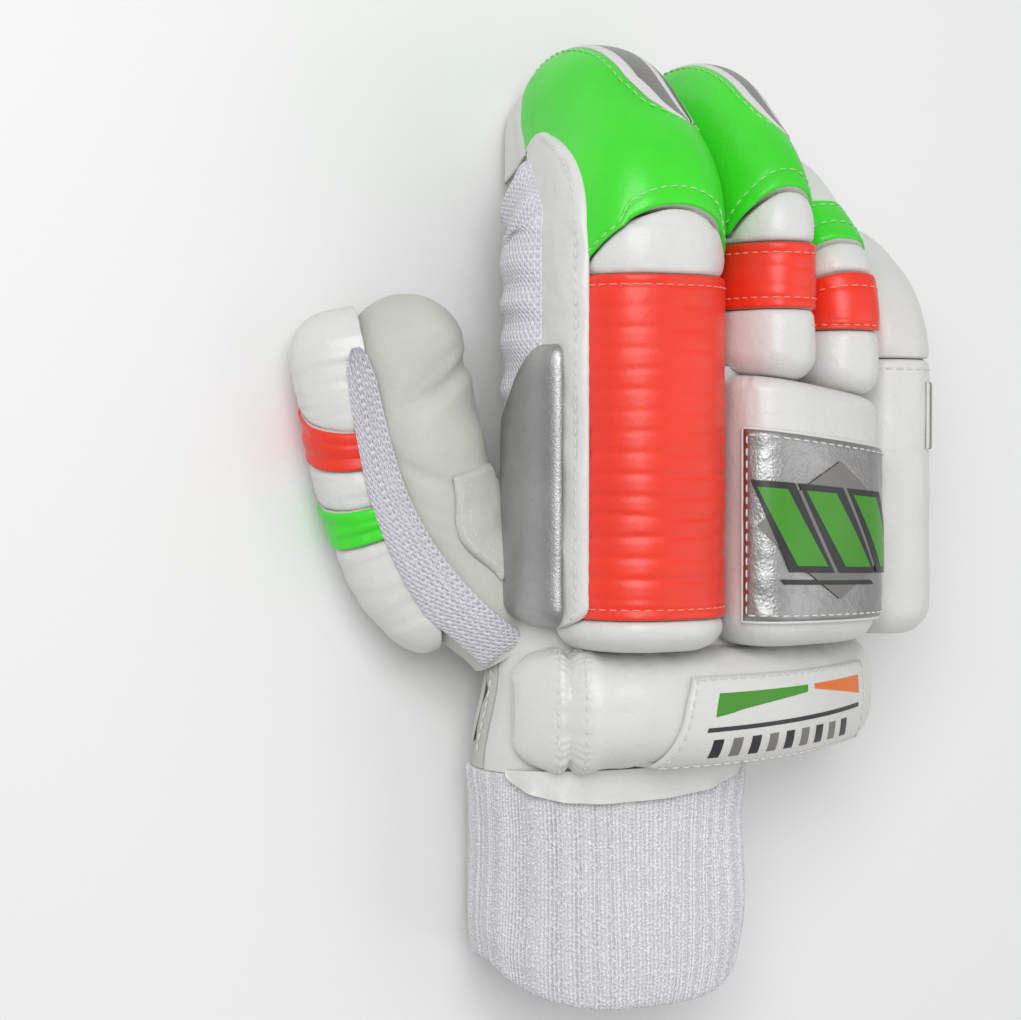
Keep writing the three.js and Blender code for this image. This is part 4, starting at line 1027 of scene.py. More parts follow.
def roll_surfaces(finger, start, end, first, last, round_start=0.0, puff=0.35, ribs=0.0, dents=0.25, which=0):
    """The outer and under side of one length of a roll, as functions of the angle and the share along it.

    The lift adds up the two edges, a soft swell between them, ribs across, pleats at the seams and dents.
    """
    pitch = bpy.context.scene.glove_sizes.rib_pitch

    def outer(angle, share):
        a, b = start(angle), end(angle)
        distance = mix(a, b, share)
        top = HALF + 0 * angle
        span = np.linalg.norm(roll_point(finger, top, a, 0) - roll_point(finger, top, b, 0), axis=-1)
        near, far = share * span, (1 - share) * span
        lift = end_lift(near, round_start, first) + edge_lift(far, last)
        lift = lift + puff * (1 - np.exp(-np.minimum(near, far) / 6))
        if ribs:
            place = stack(near / 7, angle * 1.3, 0 * angle + which)
            wave = 0.5 + 0.5 * np.cos(2 * math.pi * (near + 0.6 * noise(place, 1.0, 2)) / pitch)
            room = smooth((near - 4.2) / 3) * smooth((far - 4.2) / 3) * (0.45 + 0.55 * smooth(1.5 - near / 45))
            uneven = 0.72 + 0.28 * noise(stack(near / 4, angle * 3, 0 * angle), 1.0, 0)
            lift = lift - ribs * room * wave**3 * uneven * smooth(np.sin(angle) * 1.6)
        lift = lift + PLEATS * (gathers(angle, near, which) + gathers(angle, far, which + 1))
        place = roll_point(finger, angle, distance, 0)
        lift = lift + dents * noise(place, 13.0, which % 3) * smooth(np.minimum(near, far) / 4)
        return roll_point(finger, angle, distance, lift)

    def under(angle, share):
        a, b = start(angle), end(angle)
        distance = mix(a, b, share)
        span = np.abs(b - a)
        lift = under_lift(share * span, (1 - share) * span, round_start)
        return roll_under(finger, angle, distance, lift)

    def up_of(angle, share):
        distance = mix(start(angle), end(angle), share)
        _, _, _, out_y, out_z = centre_line(finger, distance)
        return stack(0 * out_y, out_y, out_z)

    return outer, under, up_of


def roll_rows(span, count, round_start=0, round_end=0):
    """Shares along a roll, close together where its ends turn down over their radii."""
    rows = end_rows(span, count)
    if round_start:
        rows = np.unique(np.concatenate([quarter_steps(12) * round_start / span, rows[rows * span > 4.5]]))
    if round_end:
        rows = np.unique(np.concatenate([rows[(1 - rows) * span > 6], 1 - quarter_steps(16) * round_end / span]))
    return rows


def build_roll(name, finger, start, end, material, first="under", last="under", count=20, columns=62,
               stitched=(), side_stitched=False, **shape):
    """One length of padded roll, stitched along its start (0), its end (1) and its thumb side."""
    slot = f"{material}_leather"
    outer, under, up_of = roll_surfaces(finger, start, end, first, last, **shape)
    top = np.array([HALF])
    span = float(np.linalg.norm(outer(top, np.array([0.0])) - outer(top, np.array([1.0]))))
    rows = roll_rows(span, count, shape.get("round_start", 0))
    pad(name, outer, under, up_of, rows, columns, [material, "edge"], slot, (name.replace("_pad", ""),))
    away = STITCH_FROM_EDGE / span
    lines = [(edge, np.linspace(0.35, 2.8, 120), 1 - away if edge else away) for edge in stitched]
    if side_stitched:
        lines.append(("side", SIDE_STITCH_ANGLE, np.linspace(0.01, 0.99, 200)))
    thread = "thread" if material == "white" else f"{material}_thread"
    stitch_rows(f"{name}_stitches", outer, lines, material=thread, slot=slot, flip=-1)


def build_fingers():
    """All the lengths of the four finger rolls."""
    index, middle = FINGERS["index"], FINGERS["middle"]
    ring, little = FINGERS["ring"], FINGERS["little"]
    rear = lambda angle: BLOCK_REAR_Y + 0 * angle
    line = seam_line
    build_roll("index_heel_pad", index, rear, line(index, "heel"), "white", round_start=8.1, count=8)
    build_roll("index_block_pad", index, line(index, "heel", GAP), line(index, "block"), "red",
               "over", "over", count=150, columns=76, ribs=0.42, dents=0.35, which=1,
               stitched=(0, 1), side_stitched=True)
    build_roll("index_mid_roll_pad", index, line(index, "block", GAP), line(index, "mid"), "white",
               which=2)
    build_roll("index_tip_roll_pad", index, line(index, "mid", GAP), line(index, "tip"), "green",
               "over", "under", count=70, puff=0.5, which=0, stitched=(0,))
    build_roll("index_tip_cap_pad", index, line(index, "tip", GAP), floor_line(index), "white", which=1)
    build_roll("middle_lower_roll_pad", middle, beside_block(middle, 7.2), line(middle, "lower"), "white",
               round_start=7.2, which=2)
    build_roll("middle_band_pad", middle, line(middle, "lower", GAP), line(middle, "band"), "red",
               "over", "over", count=60, ribs=0.12, which=0, stitched=(0, 1))
    build_roll("middle_mid_roll_pad", middle, line(middle, "band", GAP), line(middle, "mid"), "white",
               count=10, which=1)
    build_roll("middle_tip_roll_pad", middle, line(middle, "mid", GAP), line(middle, "tip"), "green",
               "over", "under", count=64, puff=0.5, which=2, stitched=(0,))
    build_roll("middle_tip_cap_pad", middle, line(middle, "tip", GAP), floor_line(middle), "white",
               which=0)
    build_roll("ring_lower_roll_pad", ring, beside_block(ring, 7.2), line(ring, "lower"), "white",
               round_start=7.2, which=1)
    build_roll("ring_red_band_pad", ring, line(ring, "lower", GAP), line(ring, "red"), "red",
               "over", "over", count=40, ribs=0.1, which=2, stitched=(0, 1))
    build_roll("ring_mid_roll_pad", ring, line(ring, "red", GAP), line(ring, "mid"), "white",
               count=12, which=0)
    build_roll("ring_green_band_pad", ring, line(ring, "mid", GAP), line(ring, "green"), "green",
               "over", "over", count=34, which=1, stitched=(0, 1))
    build_roll("ring_tip_roll_pad", ring, line(ring, "green", GAP), floor_line(ring), "white",
               count=54, which=2)
    build_roll("little_side_roll_pad", little, rear, line(little, "side"), "white",
               round_start=9, count=70, dents=0.4, which=0, stitched=(1,))
    build_roll("little_tip_roll_pad", little, line(little, "side", GAP), floor_line(little), "white",
               count=60, dents=0.4, which=1)


def build_inlays():
    """Striped inlays on the fingertip rolls and the side roll, drawn in to a point towards the hand."""
    # name, finger, least and greatest angle round the roll, 1 if it is measured from the bend, start and end as
    # shares of the bent part, share of the point
    rows = [
        ("index_inlay", "index", 0.46, 1.86, 1, 0.24, 1.0, 0.26),
        ("middle_inlay", "middle", 0.46, 1.84, 1, 0.27, 1.04, 0.26),
        ("side_inlay", "little", 0.5, 1.22, 0, 0.0, 0.68, 0.0),
    ]
    for name, owner, low, high, straight, start, end, point in rows:
        finger = FINGERS[owner]
        span = finger.bent_at - finger.bend_y
        root = straight * finger.bend_y

        def surface(across, along, lift=0.0):
            distance = root + mix(start, end, along) * span
            round_end = np.sqrt(1 - (1 - np.clip(along / max(point, 0.01), 0.002, 1)) ** 2) if point else 1
            left = high - point * 1.2 * (1 - smooth(along))
            right = low + point * 1.2 * (1 - smooth(along))
            angle = mix(left, right, 0.5) + (0.5 - across) * (left - right) * round_end
            seat = 0.25 + 0.75 * rim_seat(across, along, 14, 30)
            return roll_point(finger, angle, distance, 0.4 + seat * lift)

        across, along = even_grid(34, 90 if point else 40)
        piece = shell(f"{name}_leather", surface(across, along, 0.5), surface(across, along, -0.2),
                      ["striped", "edge"], "striped_inlay", (name,), share=True)
        line = np.linspace(0.02, 1, 260)
        sides = (("a", -0.09 if point else 0.07, line), ("b", 1.09 if point else 0.93, line))
        stitch_rows(f"{name}_stitches", lambda u, v: surface(u, v, 0.15), sides,
                    material="green_thread" if point else "thread", slot="striped_inlay")


def stall_surface(finger):
    """A stall: from the hand's front opening to a tube round the centre line and a half round tip.

    The way along runs 0 to 1 over the root, 1 to 2 over the tube and 2 to 3 over the dome.
    """
    def surface(angle, way, lift):
        base = np.clip(way, 0, 1)
        tube = np.clip(way - 1, 0, 1)
        dome = np.clip(way - 2, 0, 1) * HALF
        e = 2 / mix(BLOCK_POWER, STALL_POWER, base)
        swell = smooth(base)
        wide = mix(finger.width / 2 - GAP, finger.wide, swell) + lift
        high = mix(HAND_FRONT_HALF_HEIGHT - LEATHER / 2, finger.high, swell) + lift
        aside = power(np.cos(angle), e) * wide * np.cos(dome)
        up = power(np.sin(angle), e) * high * np.cos(dome)
        root = knuckle_y(finger.x + aside) + 2 * GAP
        tip = finger.dome_at + (finger.high + lift) * np.sin(dome)
        distance = np.where(way < 1, mix(root, finger.bend_y, base), mix(finger.bend_y, tip, tube))
        x, y, z, out_y, out_z = centre_line(finger, distance)
        return stack(x + aside, y + out_y * up, z + out_z * up)
    return surface


def crease_lines(angle, distance, places):
    """Grooves across the palm side of a bend, each a bell along the length, deepest under the finger."""
    total = 0
    for place in places:
        total = total - 0.9 * hump(distance + 0.8 * np.sin(3 * angle), place, 1.1)
    return total * smooth(-np.sin(angle) * 1.6)


def build_stalls():
    """The four finger stalls, with a welted seam along each side and creases inside the bends."""
    for name, finger in FINGERS.items():
        base = stall_surface(finger)
        way = np.concatenate([np.linspace(0, 1, 10), np.linspace(1, 2, 60)[1:], np.linspace(2, 3, 12)[1:]])
        angle, way = np.meshgrid(round_angles(56), way)
        span = finger.dome_at - finger.bend_y
        second = BEND_RADIUS * FIRST_BEND + finger.link
        bends = [4.7, second + 5, second + 11]
        welt = 0.7 * (hump(np.sin(angle), 0, 0.07) + 0 * way) * (way > 0.3) * (way < 2.6)
        folds = crease_lines(angle, (way - 1) * span, bends)
        grain = 0.5 * noise(base(angle, way, 0), 7.0, 1) * smooth(-np.sin(angle) + 0.4)
        fade = np.clip((2.8 - way) / 0.6, 0, 1) * np.clip((way - 0.05) * 4, 0, 1)
        outer = base(angle, way, (welt + folds + grain) * fade - 0.15)
        inner = base(angle, way, -LEATHER)
        shell(f"{name}_stall_leather", outer, inner, ["palm", "lining"], "palm_leather",
              (f"{name}_stall",), closed=True)
        line = np.linspace(1.15, 1.95, 150)
        stitch_rows(f"{name}_stall_stitches", lambda u, v: base(u, v, -0.1),
                    (("a", -0.5, line), ("b", math.pi + 0.5, line)), slot="palm_leather", flip=-1)
    build_fourchettes()


def build_hand():
    """The hand's tube: smooth backing above, soft creased palm leather below, parted at the sides."""
    rows, columns = 84, 88
    for name, low, high, material, slot in (
        ("hand_backing", 0.0, math.pi, "back", "white_leather"),
        ("hand_palm", math.pi, 2 * math.pi, "palm", "palm_leather"),
    ):
        edge = 0.012
        angle, share = np.meshgrid(np.linspace(low + edge, high - edge, columns), np.linspace(0, 1, rows))
        place = hand_surface(angle, share, 0)
        lift = 0.5 * noise(place, 16.0, 0) - 0.3
        if name == "hand_palm":
            x, y = place[..., 0], place[..., 1]
            # creases: a place on each, its lean and bow, and its depth
            for x0, y0, run, bow, depth in (
                (-34, -14, 0.35, 0.006, 1.5), (-10, -34, -0.15, 0.004, 1.3), (20, -8, 0.1, 0.003, 1.1),
            ):
                away = (y - y0) - run * (x - x0) - bow * (x - x0) ** 2
                lift = lift - depth * hump(away, 0, 1.3) * hump(x, x0, 26)
            lift = lift + 0.9 * noise(place * np.array([1, 2.2, 1]), 11.0, 1)
        pinch = np.minimum(np.minimum(angle - low, high - angle) * 5, 1)
        outer = hand_surface(angle, share, np.minimum(lift, 0.12) * pinch)
        inner = hand_surface(angle, share, -LEATHER)
        shell(name + "_leather", outer, inner, [material, "lining"], slot, (name,))
    build_palm_overlay()
    line = np.linspace(0.04, 0.97, 260)
    stitch_rows("hand_palm_stitches", lambda u, v: hand_surface(u, v, 0),
                (("a", -0.1, line), ("b", math.pi + 0.1, line)), slot="palm_leather", flip=-1)


def build_palm_overlay():
    """A second layer of leather on the palm's thumb half, with a curved front edge and double stitching."""
    def overlay(across, along, lift=0.0):
        front = 0.74 - 0.3 * across**2 + 0.05 * np.sin(across * math.pi)
        angle = mix(math.pi + 0.34, 1.62 * math.pi, across)
        rim = np.clip(np.minimum(np.minimum(across, 1 - across) * 20, np.minimum(along, 1 - along) * 20), 0, 1)
        share = mix(0.06, front, along)
        soft = 0.5 * noise(hand_surface(angle, share, 0), 12.0, 2) * rim
        return hand_surface(angle, share, 0.15 + (lift + soft * (lift > 0)) * rim**0.5)

    across, along = even_grid(60, 60)
    shell("palm_overlay_leather", overlay(across, along, 1.0), overlay(across, along, -0.4),
          ["palm", "edge"], "palm_leather")
    line = np.linspace(0.02, 0.98, 260)
    rows = (("a", line, 0.955), ("b", line, 0.91), ("c", 0.955, line), ("d", 0.91, line))
    stitch_rows("palm_overlay_stitches", lambda u, v: overlay(u, v, 1.0), rows, slot="palm_leather", flip=-1)


def build_fourchettes():
    """Knit panels let into both sides of each stall between its two seams."""
    for name, finger in FINGERS.items():
        base = stall_surface(finger)
        for side, middle in (("a", 0.0), ("b", math.pi)):
            def panel(across, along, lift):
                way = mix(1.02, 1.93, along)
                wide = 0.2 * np.sqrt(np.maximum(0.02, 1 - np.clip((along - 0.7) / 0.3, 0, 1) ** 2))
                angle = middle + (across - 0.5) * 2 * wide - 0.12 * math.copysign(1, math.cos(middle))
                gather = 0.35 * np.sin(along * 60 + 3 * across) * np.sin(across * math.pi)
                return base(angle, way, lift + (gather if lift > 0 else 0))

            across, along = even_grid(10, 80)
            shell(f"{name}_fourchette_{side}", panel(across, along, 0.55), panel(across, along, -0.6),
                  ["knit"], "knit")


def block_point(angle, share, lift):
    """The knuckle block: a squarer rounded section over the hand's arch, from its rear to its sloping front."""
    half = (BLOCK_RIGHT - BLOCK_LEFT) / 2
    x = (BLOCK_LEFT + BLOCK_RIGHT) / 2 + power(np.cos(angle), 2 / BLOCK_POWER) * (half + lift)
    y = mix(BLOCK_REAR_Y, block_front(x), share)
    z = arch_z(x) + BLOCK_FLOOR + power(np.sin(angle), 2 / BLOCK_POWER) * (BLOCK_RISE + lift - BLOCK_FLOOR)
    return stack(x, y, z)


def block_angle(t):
    """Angles round the block for even steps of its width, closest together at its edges."""
    return np.arccos(power(np.sin(t * HALF), BLOCK_POWER / 2))


def build_knuckles():
    """The padded block behind the middle and ring fingers, and the crinkled patch sewn on to it."""
    length = BLOCK_FRONT_Y - BLOCK_REAR_Y

    def drop(share):
        return ends_drop(share, length, BLOCK_ROUND, BLOCK_ROUND / 2)

    def outer(angle, share):
        place = block_point(angle, share, 0)
        ends = smooth(np.minimum(share, 1 - share) * 9)
        lift = 0.5 * noise(place, 15.0, 1) * ends
        lift = lift + 0.3 * gathers(angle, share * length, 2, 9) + 0.3 * gathers(angle, (1 - share) * length, 1, 7)
        return block_point(angle, share, lift - drop(share))

    def under(angle, share):
        place = block_point(angle, share, -drop(share))
        low = arch_z(place[..., 0]) + BLOCK_FLOOR
        level = np.maximum(low, hand_top(place[..., 0], place[..., 1]) + GAP)
        return stack(place[..., 0], place[..., 1], level)

    bow = quarter_steps(16)
    rows = np.concatenate([bow * BLOCK_ROUND / length, np.linspace(BLOCK_ROUND / length, 0.94, 44)[1:],
                           1 - bow[::-1][:-1] * BLOCK_ROUND / 2 / length, [1.0]])
    rows = np.unique(np.clip(rows, 0, 1))
    pad("knuckle_block_pad", outer, under, straight_up, rows, 150, ["white", "edge"], "white_leather",
        ("knuckle_block",), fill=0.8)

    first, last = 0.885, -0.8

    def patch(across, along, lift=0.0):
        angle = block_angle(mix(first, last, across))
        raised = lift * (0.2 + 0.8 * rim_seat(across, along, 26, 30))
        return block_point(angle, mix(0.1, 0.8, along), COVER_SEAT + raised)

    across, along = even_grid(104, 104)
    crumple = 0.2 * noise(patch(across, along), 6.0, 2) + 0.12 * noise(patch(across, along), 2.4, 0)
    piece = shell("knuckle_patch_leather", patch(across, along, COVER + crumple), patch(across, along),
                  ["silver", "edge"], "silver_leather", ("knuckle_patch",))
    line = np.linspace(0.03, 0.97, 260)
    edges = (("rear", line, 0.035), ("front", line, 0.965), ("right", 0.03, line), ("left", 0.97, line))
    stitch_rows("knuckle_patch_stitches", lambda u, v: patch(u, v, COVER), edges, slot="silver_leather", flip=-1)
    build_patch_print(patch)
    build_welt("knuckle_patch_welt", lambda u, v: patch(u, v, 0.3), 0.55)


def build_welt(name, surface, radius):
    """A thin rounded welt round a patch: a small circle carried along the four edges of its surface."""
    line = np.linspace(0.0, 1, 90)[:-1]
    u = np.concatenate([line, 1 + 0 * line, 1 - line, 0 * line])
    v = np.concatenate([0 * line, line, 1 + 0 * line, 1 - line])
    path = surface(u, v)
    up = normals_of(surface, np.clip(u, 0.01, 0.99), np.clip(v, 0.01, 0.99))
    ahead = np.roll(path, -1, axis=0) - np.roll(path, 1, axis=0)
    ahead /= np.linalg.norm(ahead, axis=-1, keepdims=True)
    side = np.cross(up, ahead)
    side /= np.linalg.norm(side, axis=-1, keepdims=True)
    sides = 10
    turn = round_angles(sides)
    ring = path[:, None] + radius * (up[:, None] * np.sin(turn)[:, None] + side[:, None] * np.cos(turn)[:, None])
    faces = tube_faces(len(path), sides, closed=True).tolist()
    return finish_object(name, bmesh_of(raw_mesh(ring, faces)), ["white"], "white_leather")


def flat_shape(name, surface, corners, material, slot, height, base, flip=-1):
    """A thin four-cornered print on a patch: its corners are shares of the patch, joined by straight lines."""
    s, t = even_grid(18, 18)
    (u0, v0), (u1, v1), (u2, v2), (u3, v3) = corners
    u = mix(mix(u0, u1, s), mix(u3, u2, s), t)
    v = mix(mix(v0, v1, s), mix(v3, v2, s), t)
    normals = normals_of(surface, u, v) * flip
    place = surface(u, v)
    return shell(name, place + normals * (base + height), place + normals * base, [material], slot)


def build_patch_print(patch):
    """A plain design on the patch: a lozenge with three leaning bars, each on a dark ground, and a pale line."""
    top = lambda u, v: patch(u, v, COVER + 0.45)
    slot = "silver_leather"
    flat_shape("patch_lozenge", top, ((0.08, 0.5), (0.5, 0.12), (0.92, 0.5), (0.5, 0.88)), "grey", slot, 0.06, 0.0)
    for i, centre in enumerate((0.26, 0.5, 0.74)):
        for label, extra, material, base in (("ground", 0.035, "dark", 0.1), ("bar", 0.0, "leaf", 0.18)):
            low, high, wide, lean = 0.3 - extra, 0.7 + extra, 0.075 + extra, 0.1
            flat_shape(f"patch_{label}_{i}", top, (
                (centre - wide - lean, low), (centre + wide - lean, low),
                (centre + wide + lean, high), (centre - wide + lean, high)), material, slot, 0.08, base)
    flat_shape("patch_line", top, ((0.3, 0.2), (0.78, 0.2), (0.8, 0.225), (0.32, 0.225)), "dark", slot, 0.06, 0.08)


def cuff_turn(x):
    """How far the cuff bar has turned down towards its thumb end, from nought to one."""
    end = CUFF_CENTRE_X - CUFF_LENGTH / 2
    return np.clip((CUFF_TURN_X - x) / (CUFF_TURN_X - end), 0, 1)


def cuff_point(angle, x, lift):
    """The cuff bar: a rounded section carried across the wrist on an arch, turned down at the thumb side."""
    rise = mix(CUFF_RISE, CUFF_END_RISE, cuff_turn(x))
    turned = np.minimum(0, x - CUFF_TURN_X) ** 2 / (2 * CUFF_TURN_RADIUS)
    top = CUFF_TOP_Z - (x - CUFF_CROWN_X) ** 2 / (2 * CUFF_ARCH_RADIUS) - turned
    e = 2 / ROLL_POWER
    y = CUFF_Y + power(np.cos(angle), e) * (CUFF_DEPTH / 2 + lift)
    return stack(x, y, top - rise + power(np.sin(angle), e) * (rise + lift))


def cuff_x(share):
    return CUFF_CENTRE_X + (share - 0.5) * CUFF_LENGTH


def build_cuff():
    """The padded bar across the wrist with its dart, the label plate on it and the thin skirt behind it."""
    dart, dart_lean = 0.1, 0.035

    def drop(share):
        return ends_drop(share, CUFF_LENGTH, CUFF_ROUND, CUFF_ROUND)

    def outer(angle, share):
        place = cuff_point(angle, cuff_x(share), 0)
        away = (share - dart + dart_lean * np.sin(angle)) * CUFF_LENGTH
        lift = -1.9 * hump(away, 0, 1.1) + 0.6 * hump(away, -3.2, 2.0) + 0.8 * hump(away, 4.6, 4.0)
        pucker = np.sin(angle * 34 + 2 * np.sin(angle * 9))
        lift = lift + 0.22 * pucker * (hump(away, 2.2, 1.7) + hump(away, -2.2, 1.7))
        ends = smooth(np.minimum(share, 1 - share) * 12)
        lift = lift + ends * (0.7 * noise(place, 17.0, 2) + 0.3 * noise(place, 8.0, 0))
        pleats = noise(stack(share * 34, 0 * angle + 2.2, 0 * angle), 1.0, 1)
        lift = lift + ends * 0.4 * pleats * (hump(angle, 0.2, 0.5) + hump(angle, math.pi - 0.2, 0.5))
        return cuff_point(angle, cuff_x(share), lift - drop(share))

    def under(angle, share):
        place = cuff_point(angle, cuff_x(share), -drop(share))
        x, y = place[..., 0], place[..., 1]
        base = cuff_point(0 * angle, cuff_x(share), 0)[..., 2]
        low = base - CUFF_SINK * (1 - cuff_turn(x))
        return stack(x, y, np.maximum(low, hand_top(x, y) + GAP))

    rows = rounded_rows(CUFF_LENGTH, CUFF_ROUND, 14, 116)
    pad("cuff_bar_pad", outer, under, straight_up, rows, 96, ["white", "edge"], "white_leather",
        ("cuff_bar",), fill=0.8)
    line = np.linspace(0.25, 2.8, 160)
    along = dart - dart_lean * np.sin(line)
    stitch_rows("cuff_dart_stitches", outer, (("a", line, along - 0.022), ("b", line, along + 0.022)))

    def label(deep, along, lift=0.0):
        rear = mix(2.62, 2.35, along)
        left = 0.315 - 0.075 * deep
        seat = 0.2 + 0.8 * rim_seat(deep, along, 14, 50)
        angle = mix(1.05, rear, deep)
        return cuff_point(angle, cuff_x(mix(left, 0.885, along)), COVER_SEAT - 0.3 + lift * seat)

    deep, along = even_grid(32, 90)
    piece = shell("cuff_label_leather", label(deep, along, COVER), label(deep, along), ["white", "edge"],
                  "white_leather", ("cuff_label",))
    top = lambda u, v: label(u, v, COVER)
    line = np.linspace(0.02, 0.98, 240)
    stitch_rows("cuff_label_stitches", top, (
        ("front", 0.06, line), ("rear", 0.94, line), ("left", line, 0.022), ("right", line, 0.978)))
    slot = "white_leather"
    for name, colour, corners in (
        ("label_wedge_leaf", "leaf", ((0.2, 0.12), (0.36, 0.12), (0.27, 0.56), (0.2, 0.56))),
        ("label_wedge_orange", "orange", ((0.2, 0.6), (0.25, 0.6), (0.38, 0.93), (0.2, 0.93))),
        ("label_rule", "dark", ((0.44, 0.1), (0.48, 0.1), (0.48, 0.93), (0.44, 0.93))),
    ):
        flat_shape(name, top, corners, colour, slot, 0.08, 0.02, flip=1)
    for i in range(9):
        start = 0.14 + i * 0.082
        corners = ((0.56, start), (0.56, start + 0.042), (0.8, start + 0.062), (0.8, start + 0.02))
        flat_shape(f"label_bar_{i}", top, corners, "grey" if i % 2 else "dark", slot, 0.08, 0.02, flip=1)

    def skirt(angle, share, lift):
        along = np.clip((angle - SKIRT_FROM) / (SKIRT_TO - SKIRT_FROM), 0, 1)
        reach = SKIRT_EDGE + SKIRT_REACH * np.sin(along * math.pi) ** 0.5
        wave = 0.5 * np.sin(angle * 21) * share**2
        place = band_surface(angle, 0 * share, lift + wave)
        return stack(place[..., 0], CUFF_Y - CUFF_DEPTH / 2 - GAP - share * reach, place[..., 2])

    angle, share = np.meshgrid(np.linspace(SKIRT_FROM, SKIRT_TO, 110), np.linspace(0, 1, 18))
    shell("cuff_skirt_leather", skirt(angle, share, GAP * 2 + 1.6), skirt(angle, share, GAP * 2),
          ["white", "edge"], slot, ("cuff_skirt",))
    line = np.linspace(SKIRT_FROM + 0.1, SKIRT_TO - 0.1, 240)
    stitch_on("cuff_skirt_stitches", lambda u, v: skirt(u, v, GAP * 2 + 1.6), line, 0.75, flip=-1)


def band_surface(angle, share, lift):
    """The wristband: the hand's wrist section carried back, flatter below, its hem dipping on top."""
    wide, high = read_table([(0, 1, 1), (0.3, 0.97, 0.99), (0.8, 1, 1), (1, 0.97, 0.98)], share)
    exponent = 2 / np.where(np.sin(angle) < 0, HAND_POWER + 0.8, HAND_POWER - 0.3 * share)
    up = power(np.sin(angle), exponent)
    z = WRIST_Z - WRIST_HALF_HEIGHT + WRIST_HALF_HEIGHT * high + up * (WRIST_HALF_HEIGHT * high + lift)
    corner = 4 * np.abs(np.cos(angle)) ** 3 * share**2
    y = WRIST_Y - GAP - share * BAND_LENGTH - HEM_DIP * np.maximum(0, up) * share + corner
    x = WRIST_CENTRE_X + power(np.cos(angle), exponent) * (WRIST_HALF_WIDTH * wide + lift)
    return stack(x, y, z)


def build_wrist():
    """The ribbed towelling wristband, rolled at its hem, and the closing strap under the wrist."""
    sizes = bpy.context.scene.glove_sizes
    wales = 150
    rows = np.unique(np.concatenate([[0, 0.01], np.linspace(0.02, 0.94, 26), 1 - quarter_steps(7) * 0.045]))
    angle, share = np.meshgrid(round_angles(wales * 4), rows)
    place = band_surface(angle, share, 0)
    ridge = sizes.wale_depth * (0.5 + 0.5 * np.cos(angle * wales))
    roll = quarter_drop((1 - share) * BAND_LENGTH, 1.3, 2.7)
    start = quarter_drop(share * BAND_LENGTH, 0.6, 1.2)
    sag = 0.9 * noise(place, 22.0, 1) + 0.4 * noise(place, 9.0, 0)
    outer = band_surface(angle, share, np.minimum(sag, 0.6) * smooth(share * 8) + ridge - 0.35 - roll - start)
    inner = band_surface(angle, share, -TOWELLING + 0.5 * roll)
    outer[..., 2] = np.maximum(outer[..., 2], STRAP_THICKNESS + STRAP_PANEL_DEPTH + 0.1)
    shell("wristband_towelling", outer, inner, ["towelling"], "towelling", ("wristband",), closed=True)

    def plate(turn, inset, z, radius):
        """A rounded oblong at a height: corner circles joined by straight sides, drawn in by the inset."""
        quarter = np.floor(turn / HALF).astype(int) % 4
        side_x = np.where((quarter == 0) | (quarter == 3), 1, -1)
        side_y = np.where(quarter < 2, 1, -1)
        x = side_x * (STRAP_LENGTH / 2 - inset - radius) + radius * np.cos(turn)
        y = side_y * (STRAP_WIDTH / 2 - inset - radius) + radius * np.sin(turn)
        return stack(WRIST_CENTRE_X + x, STRAP_Y + y, z)

    turn = (np.arange(96) + 0.5) * 2 * math.pi / 96
    depth, high, inset = STRAP_PANEL_DEPTH, STRAP_PANEL_DEPTH + STRAP_THICKNESS, STRAP_PANEL_INSET
    corner, panel_corner = STRAP_CORNER, STRAP_CORNER - STRAP_PANEL_INSET / 2
    profile = [
        (inset + 6, high, 5.0), (0.6, high, corner), (0.15, high - 0.3, corner), (0, high - 0.8, corner),
        (0, depth + 0.8, corner), (0.2, depth + 0.2, corner), (0.8, depth, corner),
        (inset - 0.4, depth, panel_corner), (inset, depth - 0.2, panel_corner), (inset + 0.2, 0.2, panel_corner),
        (inset + 0.7, 0, panel_corner), (inset + 6, 0, 4.0),
    ]
    rings = np.stack([plate(turn, inset, z + 0 * turn, radius) for inset, z, radius in profile])
    barrel("wrist_strap_leather", rings, ["white"], "white_leather", ("wrist_strap",))
    turn = np.linspace(0.01, 2 * math.pi - 0.01, 700)
    path = plate(turn, 2.6, depth + 0 * turn, STRAP_CORNER - 1.5)
    stitch_line("wrist_strap_stitches", path, stack(0 * turn, 0 * turn, -1 + 0 * turn), "thread",
                zigzag=0.7)


def flank_at(share):
    index = FINGERS["index"]
    return mix(BAR_REAR_Y, mix(index.bend_y, index.bent_at, FLANK_END), share)


def flank_point(height, share, lift):
    """The thumb side of the index roll: out from its centre line by the roll's own side at that height."""
    index = FINGERS["index"]
    distance = flank_at(share)
    x, y, z, out_y, out_z = centre_line(index, distance)
    top = np.clip((height - ROLL_FLOOR) / (index.rise - ROLL_FLOOR), 0, 1)
    inward = 1 - (1 - top**ROLL_POWER) ** (1 / ROLL_POWER)
    return stack(x - half_width(index, distance) * (1 - inward) - lift, y + out_y * height, z + out_z * height)


